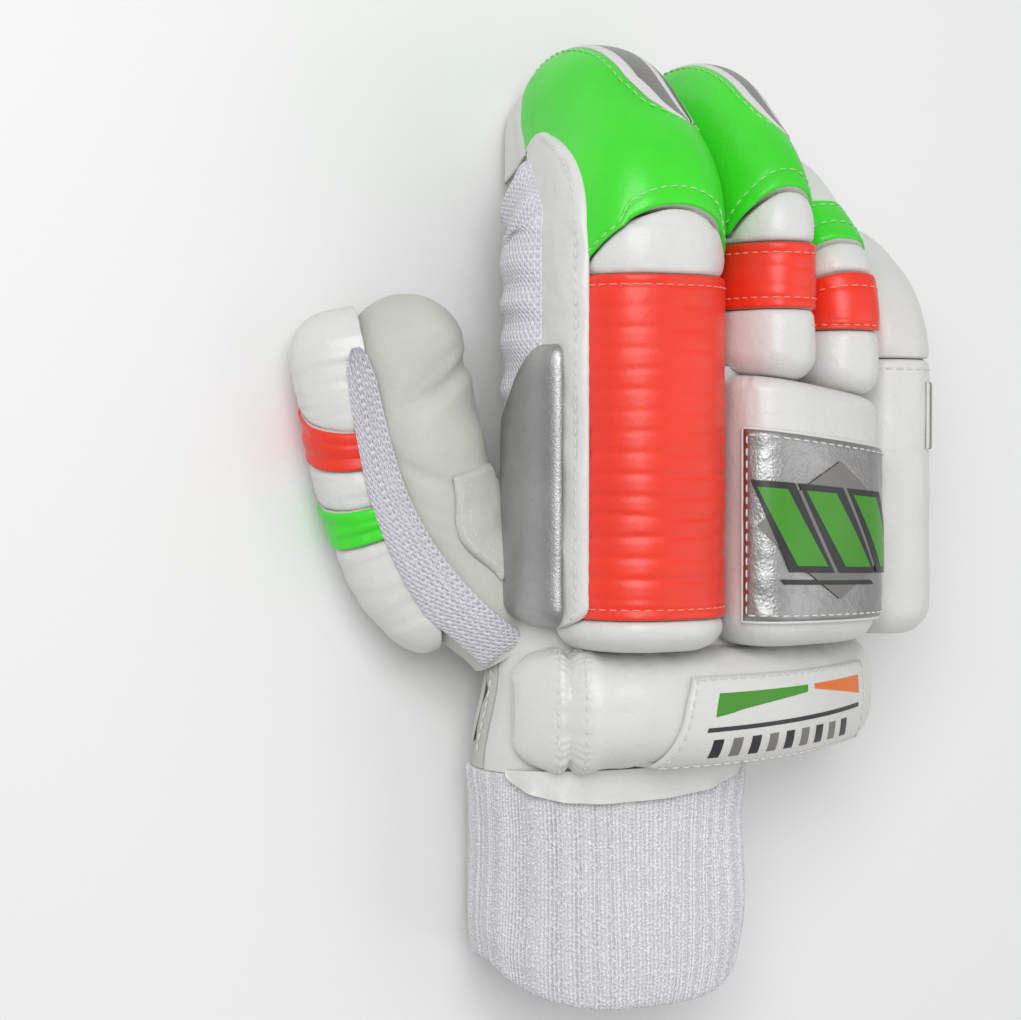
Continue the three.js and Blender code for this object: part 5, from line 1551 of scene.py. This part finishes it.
def build_guard():
    """The thumb side of the index finger: side leather, the curved silver guard bar and the knit gusset."""
    def side_sheet(across, along, lift):
        along = along * 1.09
        ahead, behind = np.clip((along - 0.74) / 0.36, 0, 1), np.clip((0.05 - along) / 0.05, 0, 1)
        top = np.sqrt(np.maximum(0, 1 - ahead**2)) * np.sqrt(np.maximum(0, 1 - 0.9 * behind**2))
        height = mix(FLANK_BOTTOM, mix(FLANK_BOTTOM + 1, FLANK_TOP, top), across)
        return flank_point(height, along, lift)

    across, along = even_grid(30, 160)
    place = side_sheet(across, along, 0)
    soft = 0.45 * noise(place, 9.0, 0) + 0.2 * noise(place, 4.0, 1)
    rim = np.clip(np.minimum(across, 1 - across) * 16, 0, 1) ** 0.5
    outer = side_sheet(across, along, GAP + 0.3 + (SIDE_LEATHER - 0.3) * rim + soft * rim)
    shell("index_side_leather_sheet", outer, side_sheet(across, along, GAP),
          ["white", "edge"], "white_leather", ("index_side_leather",))
    line = np.linspace(0.02, 0.95, 320)
    stitch_rows("index_side_stitches", lambda u, v: side_sheet(u, v, GAP + SIDE_LEATHER),
                (("a", 0.88, line), ("b", 0.12, line)))

    length = BAR_FRONT_Y - BAR_REAR_Y
    flank_x = FIRST_EDGE_X - GAP - SIDE_LEATHER - GAP

    def bar_point(angle, y, lift, square, under=False):
        """Half a rounded section that stands out from the side of the index finger."""
        z = BAR_CENTRE_Z + power(np.cos(angle), square) * (BAR_HEIGHT / 2 + lift)
        out = 0 * angle if under else power(np.sin(angle), square) * (BAR_THICKNESS + lift)
        return stack(flank_x - out, y, z)

    def drop(share):
        rear = quarter_drop(share * length, BAR_ROUND, BAR_ROUND)
        return rear + quarter_drop((1 - share) * length, BAR_ROUND, BAR_ROUND) / 2

    def bar(angle, share, under=False):
        low = smooth(0.5 - 0.62 * np.cos(angle))
        lean = low * (17 * smooth((share - 0.6) / 0.4) - 2 * smooth((0.3 - share) / 0.3))
        y = mix(BAR_REAR_Y, BAR_FRONT_Y, share) - lean
        place = bar_point(angle, y, 0, BAR_SQUARE)
        lift = 0.2 * noise(place, 12.0, 2) * smooth(np.minimum(share, 1 - share) * 10)
        return bar_point(angle, y, lift * (not under) - drop(share), BAR_FINISH_SQUARE, under)

    angle, share = np.meshgrid(np.linspace(0, math.pi, 44), rounded_rows(length, BAR_ROUND, 12, 60))
    piece = shell("side_bar_leather", bar(angle, share), bar(angle, share, True),
                  ["bar", "edge"], "silver_leather", ("side_bar",))

    index = FINGERS["index"]

    def gusset(angle, share, under=False):
        distance = mix(GUSSET_REAR_Y, flank_at(1.07), share)
        x, y, z, out_y, out_z = centre_line(index, distance)
        gather = 0.9 * np.sin(share * 74 + 0.6 * np.sin(share * 31)) * smooth(np.sin(angle) * 1.5)
        thick = GUSSET_THICKNESS - 1.2 + gather * smooth(np.minimum(share, 1 - share) * 12)
        height = -GUSSET_DROP + power(np.cos(angle), BAR_SQUARE) * GUSSET_HEIGHT / 2
        out = 0 * angle if under else power(np.sin(angle), BAR_SQUARE) * thick
        side = x - half_width(index, distance) - GAP - 0.4 - out
        return stack(side, y + out_y * height, z + out_z * height)

    angle, share = np.meshgrid(np.linspace(0, math.pi, 34), np.linspace(0, 1, 200))
    shell("index_gusset_knit", gusset(angle, share), gusset(angle, share, True), ["knit"], "knit",
          ("index_gusset",))


def thumb_curve():
    """The thumb's centre line: a centripetal curve through four points, sampled with its directions."""
    shares = np.array([(0, 0, 1), (0.44, 0.31, 0.3), (0.8, 0.62, 0), (1, 1, 0)])
    points = np.stack([THUMB_ROOT_X - shares[:, 0] * THUMB_SPREAD, THUMB_ROOT_Y + shares[:, 1] * THUMB_REACH,
                       THUMB_HEIGHT + shares[:, 2] * THUMB_ROOT_LIFT], -1)
    points = np.concatenate([[2 * points[0] - points[1]], points, [2 * points[-1] - points[-2]]])
    samples = []
    for i in range(1, 4):
        p0, p1, p2, p3 = points[i - 1:i + 3]
        d0, d1, d2 = (max(np.linalg.norm(b - a) ** 0.5, 1e-6) for a, b in ((p0, p1), (p1, p2), (p2, p3)))
        t1 = ((p1 - p0) / d0 - (p2 - p0) / (d0 + d1) + (p2 - p1) / d1) * d1
        t2 = ((p2 - p1) / d1 - (p3 - p1) / (d1 + d2) + (p3 - p2) / d2) * d1
        t = np.linspace(0, 1, 101)[: 101 if i == 3 else 100, None]
        samples.append(p1 + t1 * t + (-3 * p1 + 3 * p2 - 2 * t1 - t2) * t**2 + (2 * p1 - 2 * p2 + t1 + t2) * t**3)
    line = np.concatenate(samples)
    ahead = np.gradient(line, axis=0)
    return line, ahead / np.linalg.norm(ahead, axis=-1, keepdims=True)


THUMB_LINE, THUMB_AHEAD = thumb_curve()
THUMB_LENGTH = float(np.linalg.norm(np.diff(THUMB_LINE, axis=0), axis=-1).sum())


def thumb_place(share, forward, outward, up):
    """A place beside the thumb's centre line, by its own forward, outward and upward directions."""
    at = np.clip(share, 0, 1) * (len(THUMB_LINE) - 1)
    pick = lambda values: np.stack([np.interp(at, np.arange(len(values)), values[:, i]) for i in range(3)], -1)
    point, ahead = pick(THUMB_LINE), pick(THUMB_AHEAD)
    ahead /= np.linalg.norm(ahead, axis=-1, keepdims=True)
    side = stack(-ahead[..., 1], ahead[..., 0], 0 * ahead[..., 0])
    side /= np.linalg.norm(side, axis=-1, keepdims=True)
    rise = np.cross(ahead, side)
    return point + ahead * forward[..., None] + side * outward[..., None] + rise * up[..., None]


def thumb_surface(angle, way, lift):
    """The thumb's stall: a rounded section on the centre line, then a half round tip from 1 to 2 on the way."""
    share = np.minimum(way, 1)
    dome = np.clip(way - 1, 0, 1) * HALF
    across, high = read_table([(0, 0.93, 1.03), (0.5, 1, 1), (1, 0.95, 0.92)], share)
    across, high = THUMB_HALF_WIDTH * across + lift, THUMB_HALF_HEIGHT * high + lift
    outward = power(np.cos(angle), 2 / THUMB_POWER) * across * np.cos(dome)
    up = power(np.sin(angle), 2 / THUMB_POWER) * high * np.cos(dome)
    return thumb_place(share, across * np.sin(dome), outward, up)


def root_drop(way):
    """How far the thumb draws in at its root, where it goes into the hand: less and less over its first third."""
    return THUMB_DROP * (1 - smooth((way - THUMB_DROP_FROM) / THUMB_DROP_RUN))


def build_thumb():
    """The thumb: creased palm leather, padded rolls on its outward side, a knit strip and a sewn patch."""
    way = np.concatenate([np.linspace(0.14, 1, 100), np.linspace(1, 2, 20)[1:]])
    angle, way = np.meshgrid(round_angles(84), way)
    place = thumb_surface(angle, way, 0)
    palm = smooth(np.cos(angle - 2.1) * 1.4)  # where the palm side is
    lift = 0.7 * noise(place, 12.0, 0) - 0.35
    for at, lean, depth, width in ((0.86, 0.1, 2.2, 0.022), (0.9, 0.12, 0.7, 0.03), (0.7, -0.12, 0.8, 0.02),
                                   (0.6, -0.16, 0.3, 0.014), (0.54, -0.2, 0.3, 0.016), (0.48, -0.2, 0.2, 0.012)):
        lift = lift - depth * hump(way - at - lean * np.sin(angle - 1.2), 0, width) * palm
    lift = lift + 0.7 * (hump(way, 0.95, 0.06) + hump(way, 0.77, 0.05)) * palm
    fade = np.clip((2 - way) / 0.5, 0, 1)
    outer = thumb_surface(angle, way, np.clip(lift, -1.5, 0.9) * fade - 0.1 - root_drop(way))
    outer[..., 2] = np.maximum(outer[..., 2], 0.2)
    shell("thumb_stall_leather", outer, thumb_surface(angle, way, -THUMB_WALL - root_drop(way)),
          ["palm", "lining"], "palm_leather", ("thumb_stall",), closed=True)

    def roll_spot(angle, share, lift):
        e = 2 / THUMB_POWER
        taper = np.clip(mix(THUMB_ROLL_ROOT, 1, share / THUMB_ROLL_FULL), 0, 1) ** THUMB_ROLL_SWELL
        reach = THUMB_ROLL_FLOOR + (THUMB_ROLL_RISE - THUMB_ROLL_FLOOR + lift) * taper
        high = (THUMB_ROLL_HALF_HEIGHT + lift) * np.clip(mix(THUMB_ROLL_LOW, 1, 2 * share), 0, 1)
        out = THUMB_ROLL_FLOOR + power(np.sin(angle), e) * (reach - THUMB_ROLL_FLOOR)
        return out, -power(np.cos(angle), e) * high

    def roll_place(share, out, up):
        sine, cosine = math.sin(THUMB_ROLL_TURN), math.cos(THUMB_ROLL_TURN)
        beyond = np.maximum(share - 1, 0) * THUMB_LENGTH
        return thumb_place(share, beyond, out * cosine + up * sine, up * cosine - out * sine)

    # name, share and slant of its end seam, leather, radii of its start and end, style of its edges
    rolls = [
        ("thumb_roll_base", 0.6, 1.5, "white", THUMB_BASE_ROUND, 0, "under"),
        ("thumb_band_green", 0.69, 2.5, "green", 0, 0, "over"),
        ("thumb_roll_mid", 0.78, 3.5, "white", 0, 0, "under"),
        ("thumb_band_red", 0.89, 6.0, "red", 0, 0, "over"),
        ("thumb_roll_tip", 1.155, 0.0, "white", 0, THUMB_TIP_ROUND, "under"),
    ]

    def seam(share, slant):
        """A seam across the roll at a share of the centre line, further back towards its inner edge."""
        return lambda angle: share + slant * np.cos(angle) / THUMB_LENGTH

    last_share, last_slant = THUMB_ROLL_FROM, 0.0
    for i, (name, to, slant, material, round_start, round_end, style) in enumerate(rolls):
        start, end = seam(last_share, last_slant), seam(to, slant)
        span = (to - last_share) * THUMB_LENGTH

        def outer(angle, t):
            long = (end(angle) - start(angle)) * THUMB_LENGTH
            near, far = t * long, (1 - t) * long
            lift = end_lift(near, round_start, style) + end_lift(far, round_end, style)
            share = mix(start(angle), end(angle), t)
            wrinkles = noise(stack(share * 62, angle * 1.1, 0 * angle + i), 1.0, 1)
            lift = lift + (0.3 + 0.25 * (material != "white")) * wrinkles * smooth(np.minimum(near, far) / 3)
            lift = lift + 0.25 * gathers(angle, near, i) + 0.25 * gathers(angle, far, i + 1)
            return roll_place(share, *roll_spot(angle, share, lift))

        def under(angle, t):
            long = (end(angle) - start(angle)) * THUMB_LENGTH
            lift = under_lift(t * long, (1 - t) * long, round_start, round_end)
            share = mix(start(angle), end(angle), t)
            _, up = roll_spot(angle, share, lift)
            flat = np.abs(np.clip(up, -THUMB_HALF_HEIGHT, THUMB_HALF_HEIGHT) / (THUMB_HALF_HEIGHT + GAP))
            stall = (THUMB_HALF_WIDTH + GAP) * (1 - flat**THUMB_POWER) ** (1 / THUMB_POWER)
            tip = np.clip((share * THUMB_LENGTH - THUMB_LENGTH) / (THUMB_HALF_WIDTH + GAP), 0, 1)
            return roll_place(share, np.maximum(THUMB_ROLL_FLOOR, stall * np.sqrt(1 - tip**2)), up)

        def up_of(angle, t):
            share = mix(start(angle), end(angle), t)
            return roll_place(share, 1 + 0 * angle, 0 * angle) - roll_place(share, 0 * angle, 0 * angle)

        rows = roll_rows(span, 24, round_start, round_end)
        pad(f"{name}_pad", outer, under, up_of, rows, 58, [material, "edge"], f"{material}_leather", (name,))
        last_share, last_slant = to + GAP / THUMB_LENGTH, slant

    def knit(u, v, lift):
        """The knit strip: from a line on the roll to a line on the stall, bowed up a little between them."""
        share = mix(0.15, 1.05, v)
        way = share + np.maximum(share - 1, 0) * (THUMB_LENGTH / (HALF * THUMB_HALF_WIDTH) - 1)
        u = 0.5 + (u - 0.5) * np.sqrt(1 - 0.92 * np.clip((v - 0.88) / 0.12, 0, 1) ** 2)
        on_roll = smooth((share - THUMB_ROLL_FROM) / 0.1)
        roll = roll_place(share, *roll_spot(2.86 + 0 * u, share, 0.5))
        drop = COVER_SEAT - root_drop(way)
        edge = mix(thumb_surface(0.35 + 0 * u, way, drop), roll, on_roll[..., None])
        angle = mix(1.75, 0.6, v**0.42)
        inner = thumb_surface(angle + 0 * u, way, drop)
        bow = (0.5 + 2.2 * smooth(1.4 - v * 1.6)) * 4 * u * (1 - u)
        rim = rim_seat(u, v, 10, 30)
        puff = 0.35 * noise(inner + (edge - inner) * u[..., None], 6.0, 1)
        ribs = 0.3 * (lift > 0) * np.cos(u * 2 * math.pi * 7) * smooth(v * 12)
        raise_by = bow + (lift + ribs + puff * (lift > 0)) * (0.15 + 0.85 * rim)
        up = thumb_place(share, 0 * u, 0 * u, 1 + 0 * u) - thumb_place(share, 0 * u, 0 * u, 0 * u)
        return mix(edge, inner, u[..., None]) + up * raise_by[..., None]

    u, v = even_grid(57, 120)
    shell("thumb_knit_sheet", knit(u, v, COVER), knit(u, v, 0), ["knit"], "knit", ("thumb_knit",))

    def patch(u, v, lift=0.0):
        """The doubled leather at the thumb's root, a little crumpled inside its rims."""
        angle, way = mix(1.34 + 0.22 * np.cos(v * math.pi) ** 2, 2.35, u), mix(0.34, 0.68, v)
        raised = lift + 0.5 * noise(thumb_surface(angle, way, 0), 5.0, 2) * (lift > 0)
        return thumb_surface(angle, way, COVER_SEAT - 0.7 + raised * (0.15 + 0.85 * rim_seat(u, v, 12, 22)))

    u, v = even_grid(26, 66)
    slot = "palm_leather"
    shell("thumb_patch_sheet", patch(u, v, COVER), patch(u, v), ["palm", "edge"], slot, ("thumb_patch",))
    line = np.linspace(0.03, 0.97, 220)
    sides = (("a", 0.09, line), ("b", 0.2, line), ("c", 0.91, line), ("d", line, 0.06), ("e", line, 0.94))
    stitch_rows("thumb_patch_stitches", lambda u, v: patch(u, v, COVER), sides, slot=slot, flip=-1)


def colour_property(name, description, value):
    return bpy.props.FloatVectorProperty(
        name=name, description=description, default=value, size=3, min=0, max=1, subtype="COLOR")


def length_property(name, description, value, low=0.05, high=10.0):
    return bpy.props.FloatProperty(name=name, description=description, default=value, min=low, max=high)


class GloveSizes(bpy.types.PropertyGroup):
    """Sizes of the finish that the solids don't hold, in millimetres."""

    stitch_length: length_property("Stitch Length", "Length of one stitch, in millimetres", 2.3)
    stitch_space: length_property("Stitch Space", "Space between two stitches, in millimetres", 0.9)
    stitch_thickness: length_property("Stitch Thickness", "Thickness of the thread, in millimetres", 0.55)
    rib_pitch: length_property("Rib Pitch", "Distance between the red pad's soft ribs, in millimetres", 5.7)
    wale_depth: length_property("Wale Depth", "Depth of the towelling's ribs, in millimetres", 0.45)
    wale_pitch: length_property("Loop Pitch", "Distance between the towelling's loops, in millimetres", 1.4)


class GloveColours(bpy.types.PropertyGroup):
    """Base colours of the leathers, cloths, threads and prints."""

    white: colour_property("White Leather", "Coated white leather of the rolls", (0.7, 0.7, 0.678))
    palm: colour_property("Palm Leather", "Soft ivory leather of the palm", (0.57, 0.58, 0.525))
    green: colour_property("Green Leather", "Green leather of the fingertip rolls", (0.045, 0.72, 0.02))
    red: colour_property("Red Leather", "Orange red leather of the bands", (0.86, 0.036, 0.013))
    lining: colour_property("Lining", "Cotton lining inside the stalls", (0.62, 0.61, 0.58))
    edge: colour_property("Cut Edge", "Cut edges and under sides of the leather", (0.62, 0.61, 0.58))
    dark: colour_property("Dark Print", "Dark print", (0.02, 0.022, 0.024))
    grey: colour_property("Grey Print", "Grey print", (0.2, 0.195, 0.185))
    leaf: colour_property("Leaf Print", "Green print", (0.05, 0.3, 0.008))
    orange: colour_property("Orange Print", "Orange print", (0.82, 0.17, 0.01))
    pale: colour_property("Pale Print", "Pale stripe", (0.68, 0.68, 0.66))
    thread: colour_property("Thread", "White thread", (0.72, 0.72, 0.70))
    red_thread: colour_property("Red Thread", "Thread on the red leather", (0.92, 0.26, 0.17))
    green_thread: colour_property("Green Thread", "Thread on the green leather", (0.36, 0.72, 0.3))
    silver: colour_property("Silver Leather", "Metallic silver leather", (0.4, 0.4, 0.4))
    knit: colour_property("Knit", "Lilac white knit", (0.78, 0.77, 0.83))
    towelling: colour_property("Towelling", "Towelling of the wristband", (0.8, 0.79, 0.82))


class GloveStage(bpy.types.PropertyGroup):
    """Camera and light of the pale stage."""

    tilt: bpy.props.FloatProperty(
        name="Tilt", description="Lean of the camera from straight above to the thumb side", subtype="ANGLE",
        default=math.radians(27), min=0, max=HALF)
    distance: bpy.props.FloatProperty(
        name="Distance", description="Distance from the aim to the camera", subtype="DISTANCE", default=0.65,
        min=0.1, max=5)
    lens: bpy.props.FloatProperty(
        name="Lens", description="Focal length on a 36 mm sensor, in millimetres", default=81.9, min=20, max=300)
    light: bpy.props.FloatProperty(
        name="Light", description="Strength of the main soft light, in watts", default=7.8, min=0, max=500)
    world: bpy.props.FloatProperty(
        name="World", description="Strength of the even light all round", default=0.42, min=0, max=10)


class GLOVE_OT_materials(bpy.types.Operator):
    """Makes the leather, knit, towelling and thread materials"""

    bl_idname = "glove.materials"
    bl_label = "Build Materials"

    def execute(self, context):
        MATERIALS.update(build_materials())
        return {"FINISHED"}


class GLOVE_OT_hand(bpy.types.Operator):
    """Builds the backing and the palm of the hand's tube"""

    bl_idname = "glove.hand"
    bl_label = "Build Hand"

    def execute(self, context):
        build_hand()
        return {"FINISHED"}


class GLOVE_OT_stalls(bpy.types.Operator):
    """Builds the four finger stalls"""

    bl_idname = "glove.stalls"
    bl_label = "Build Finger Stalls"

    def execute(self, context):
        build_stalls()
        return {"FINISHED"}


class GLOVE_OT_rolls(bpy.types.Operator):
    """Builds the padded rolls and bands of the four fingers"""

    bl_idname = "glove.rolls"
    bl_label = "Build Finger Rolls"

    def execute(self, context):
        build_fingers()
        return {"FINISHED"}


class GLOVE_OT_inlays(bpy.types.Operator):
    """Builds the striped inlays of the fingertip rolls and the side roll"""

    bl_idname = "glove.inlays"
    bl_label = "Build Inlays"

    def execute(self, context):
        build_inlays()
        return {"FINISHED"}


class GLOVE_OT_knuckles(bpy.types.Operator):
    """Builds the knuckle block with its silver patch"""

    bl_idname = "glove.knuckles"
    bl_label = "Build Knuckles"

    def execute(self, context):
        build_knuckles()
        return {"FINISHED"}


class GLOVE_OT_cuff(bpy.types.Operator):
    """Builds the cuff bar, its label plate and the skirt behind it"""

    bl_idname = "glove.cuff"
    bl_label = "Build Cuff"

    def execute(self, context):
        build_cuff()
        return {"FINISHED"}


class GLOVE_OT_wrist(bpy.types.Operator):
    """Builds the towelling wristband and the closing strap"""

    bl_idname = "glove.wrist"
    bl_label = "Build Wrist"

    def execute(self, context):
        build_wrist()
        return {"FINISHED"}


class GLOVE_OT_guard(bpy.types.Operator):
    """Builds the index finger's side leather, guard bar and gusset"""

    bl_idname = "glove.guard"
    bl_label = "Build Index Side"

    def execute(self, context):
        build_guard()
        return {"FINISHED"}


class GLOVE_OT_thumb(bpy.types.Operator):
    """Builds the thumb's stall, rolls, knit strip and patch"""

    bl_idname = "glove.thumb"
    bl_label = "Build Thumb"

    def execute(self, context):
        build_thumb()
        return {"FINISHED"}


def light_panel(name, place, aim, size, energy):
    """A square soft light that faces its aim."""
    data = bpy.data.lights.new(name, "AREA")
    data.shape = "SQUARE"
    data.size = size
    data.energy = energy
    lamp = bpy.data.objects.new(name, data)
    bpy.context.scene.collection.objects.link(lamp)
    lamp.location = place
    lamp.rotation_euler = (Vector(aim) - Vector(place)).to_track_quat("-Z", "Y").to_euler()
    return lamp


class GLOVE_OT_stage(bpy.types.Operator):
    """Sets the pale floor, the soft light and the camera"""

    bl_idname = "glove.stage"
    bl_label = "Build Stage"

    def execute(self, context):
        stage = context.scene.glove_stage
        finish = Finish("pale_floor", 0.9)
        tone = finish.n.range(finish.n.noise(finish.place, 1.5, 2.0), 0.3, 0.7)
        finish.colour(finish.n.blend(tone, (0.83, 0.83, 0.83, 1), (0.85, 0.85, 0.85, 1)))
        mesh = bpy.data.meshes.new("floor")
        far = FLOOR_HALF
        mesh.from_pydata([(-far, -far, 0), (far, -far, 0), (far, far, 0), (-far, far, 0)], [], [(0, 1, 2, 3)])
        mesh.materials.append(finish.material)
        floor = bpy.data.objects.new("floor", mesh)
        context.scene.collection.objects.link(floor)
        sine, cosine = math.sin(stage.tilt), math.cos(stage.tilt)
        right, back = Vector((cosine, 0, sine)), Vector((-sine, 0, cosine))
        shift = Vector(SHIFT / 1000)
        aim = right * AIM_ACROSS + Vector((0, AIM_UP, 0)) + back * AIM_HEIGHT + shift
        place = right * AIM_ACROSS + back * (AIM_HEIGHT + stage.distance) + shift
        data = bpy.data.cameras.new("camera")
        data.lens = stage.lens
        data.sensor_width = 36
        data.clip_start = 0.01
        data.clip_end = 20
        camera = bpy.data.objects.new("camera", data)
        context.scene.collection.objects.link(camera)
        camera.location = place
        toward = (aim - place).normalized()
        side = toward.cross(Vector((0, 1, 0))).normalized()
        up = side.cross(toward)
        camera.rotation_euler = Matrix((side, up, -toward)).transposed().to_euler()
        context.scene.camera = camera
        light_panel("key_light", (-0.45, 0.35, 0.95), (0, 0, 0.04), 0.7, stage.light)
        light_panel("fill_light", (0.7, -0.2, 0.8), (0, 0, 0.04), 0.9, stage.light * 0.3)
        world = bpy.data.worlds.new("studio")
        world.use_nodes = True
        ground = world.node_tree.nodes["Background"]
        ground.inputs["Color"].default_value = (1, 1, 1, 1)
        ground.inputs["Strength"].default_value = stage.world
        context.scene.world = world
        context.scene.view_settings.view_transform = "Standard"
        return {"FINISHED"}


class GLOVE_PT_panel(bpy.types.Panel):
    """Lists the operators of the glove"""

    bl_label = "Batting Glove"
    bl_idname = "GLOVE_PT_panel"
    bl_space_type = "VIEW_3D"
    bl_region_type = "UI"
    bl_category = "Glove"

    def draw(self, context):
        column = self.layout.column(align=True)
        for operator in OPERATORS:
            column.operator(operator.bl_idname)
        for group_name in ("glove_sizes", "glove_colours", "glove_stage"):
            settings = getattr(context.scene, group_name)
            box = self.layout.box()
            for key in settings.__annotations__:
                box.prop(settings, key)


OPERATORS = (
    GLOVE_OT_materials, GLOVE_OT_hand, GLOVE_OT_stalls, GLOVE_OT_rolls, GLOVE_OT_inlays, GLOVE_OT_knuckles,
    GLOVE_OT_cuff, GLOVE_OT_wrist, GLOVE_OT_guard, GLOVE_OT_thumb, GLOVE_OT_stage,
)
CLASSES = (GloveSizes, GloveColours, GloveStage, *OPERATORS, GLOVE_PT_panel)


def register():
    for cls in CLASSES:
        bpy.utils.register_class(cls)
    bpy.types.Scene.glove_sizes = bpy.props.PointerProperty(type=GloveSizes)
    bpy.types.Scene.glove_colours = bpy.props.PointerProperty(type=GloveColours)
    bpy.types.Scene.glove_stage = bpy.props.PointerProperty(type=GloveStage)


def unregister():
    for name in ("glove_stage", "glove_colours", "glove_sizes"):
        delattr(bpy.types.Scene, name)
    for cls in reversed(CLASSES):
        bpy.utils.unregister_class(cls)


def main():
    register()
    for operator in OPERATORS:
        getattr(bpy.ops.glove, operator.bl_idname.removeprefix("glove."))()


if __name__ == "__main__":
    main()
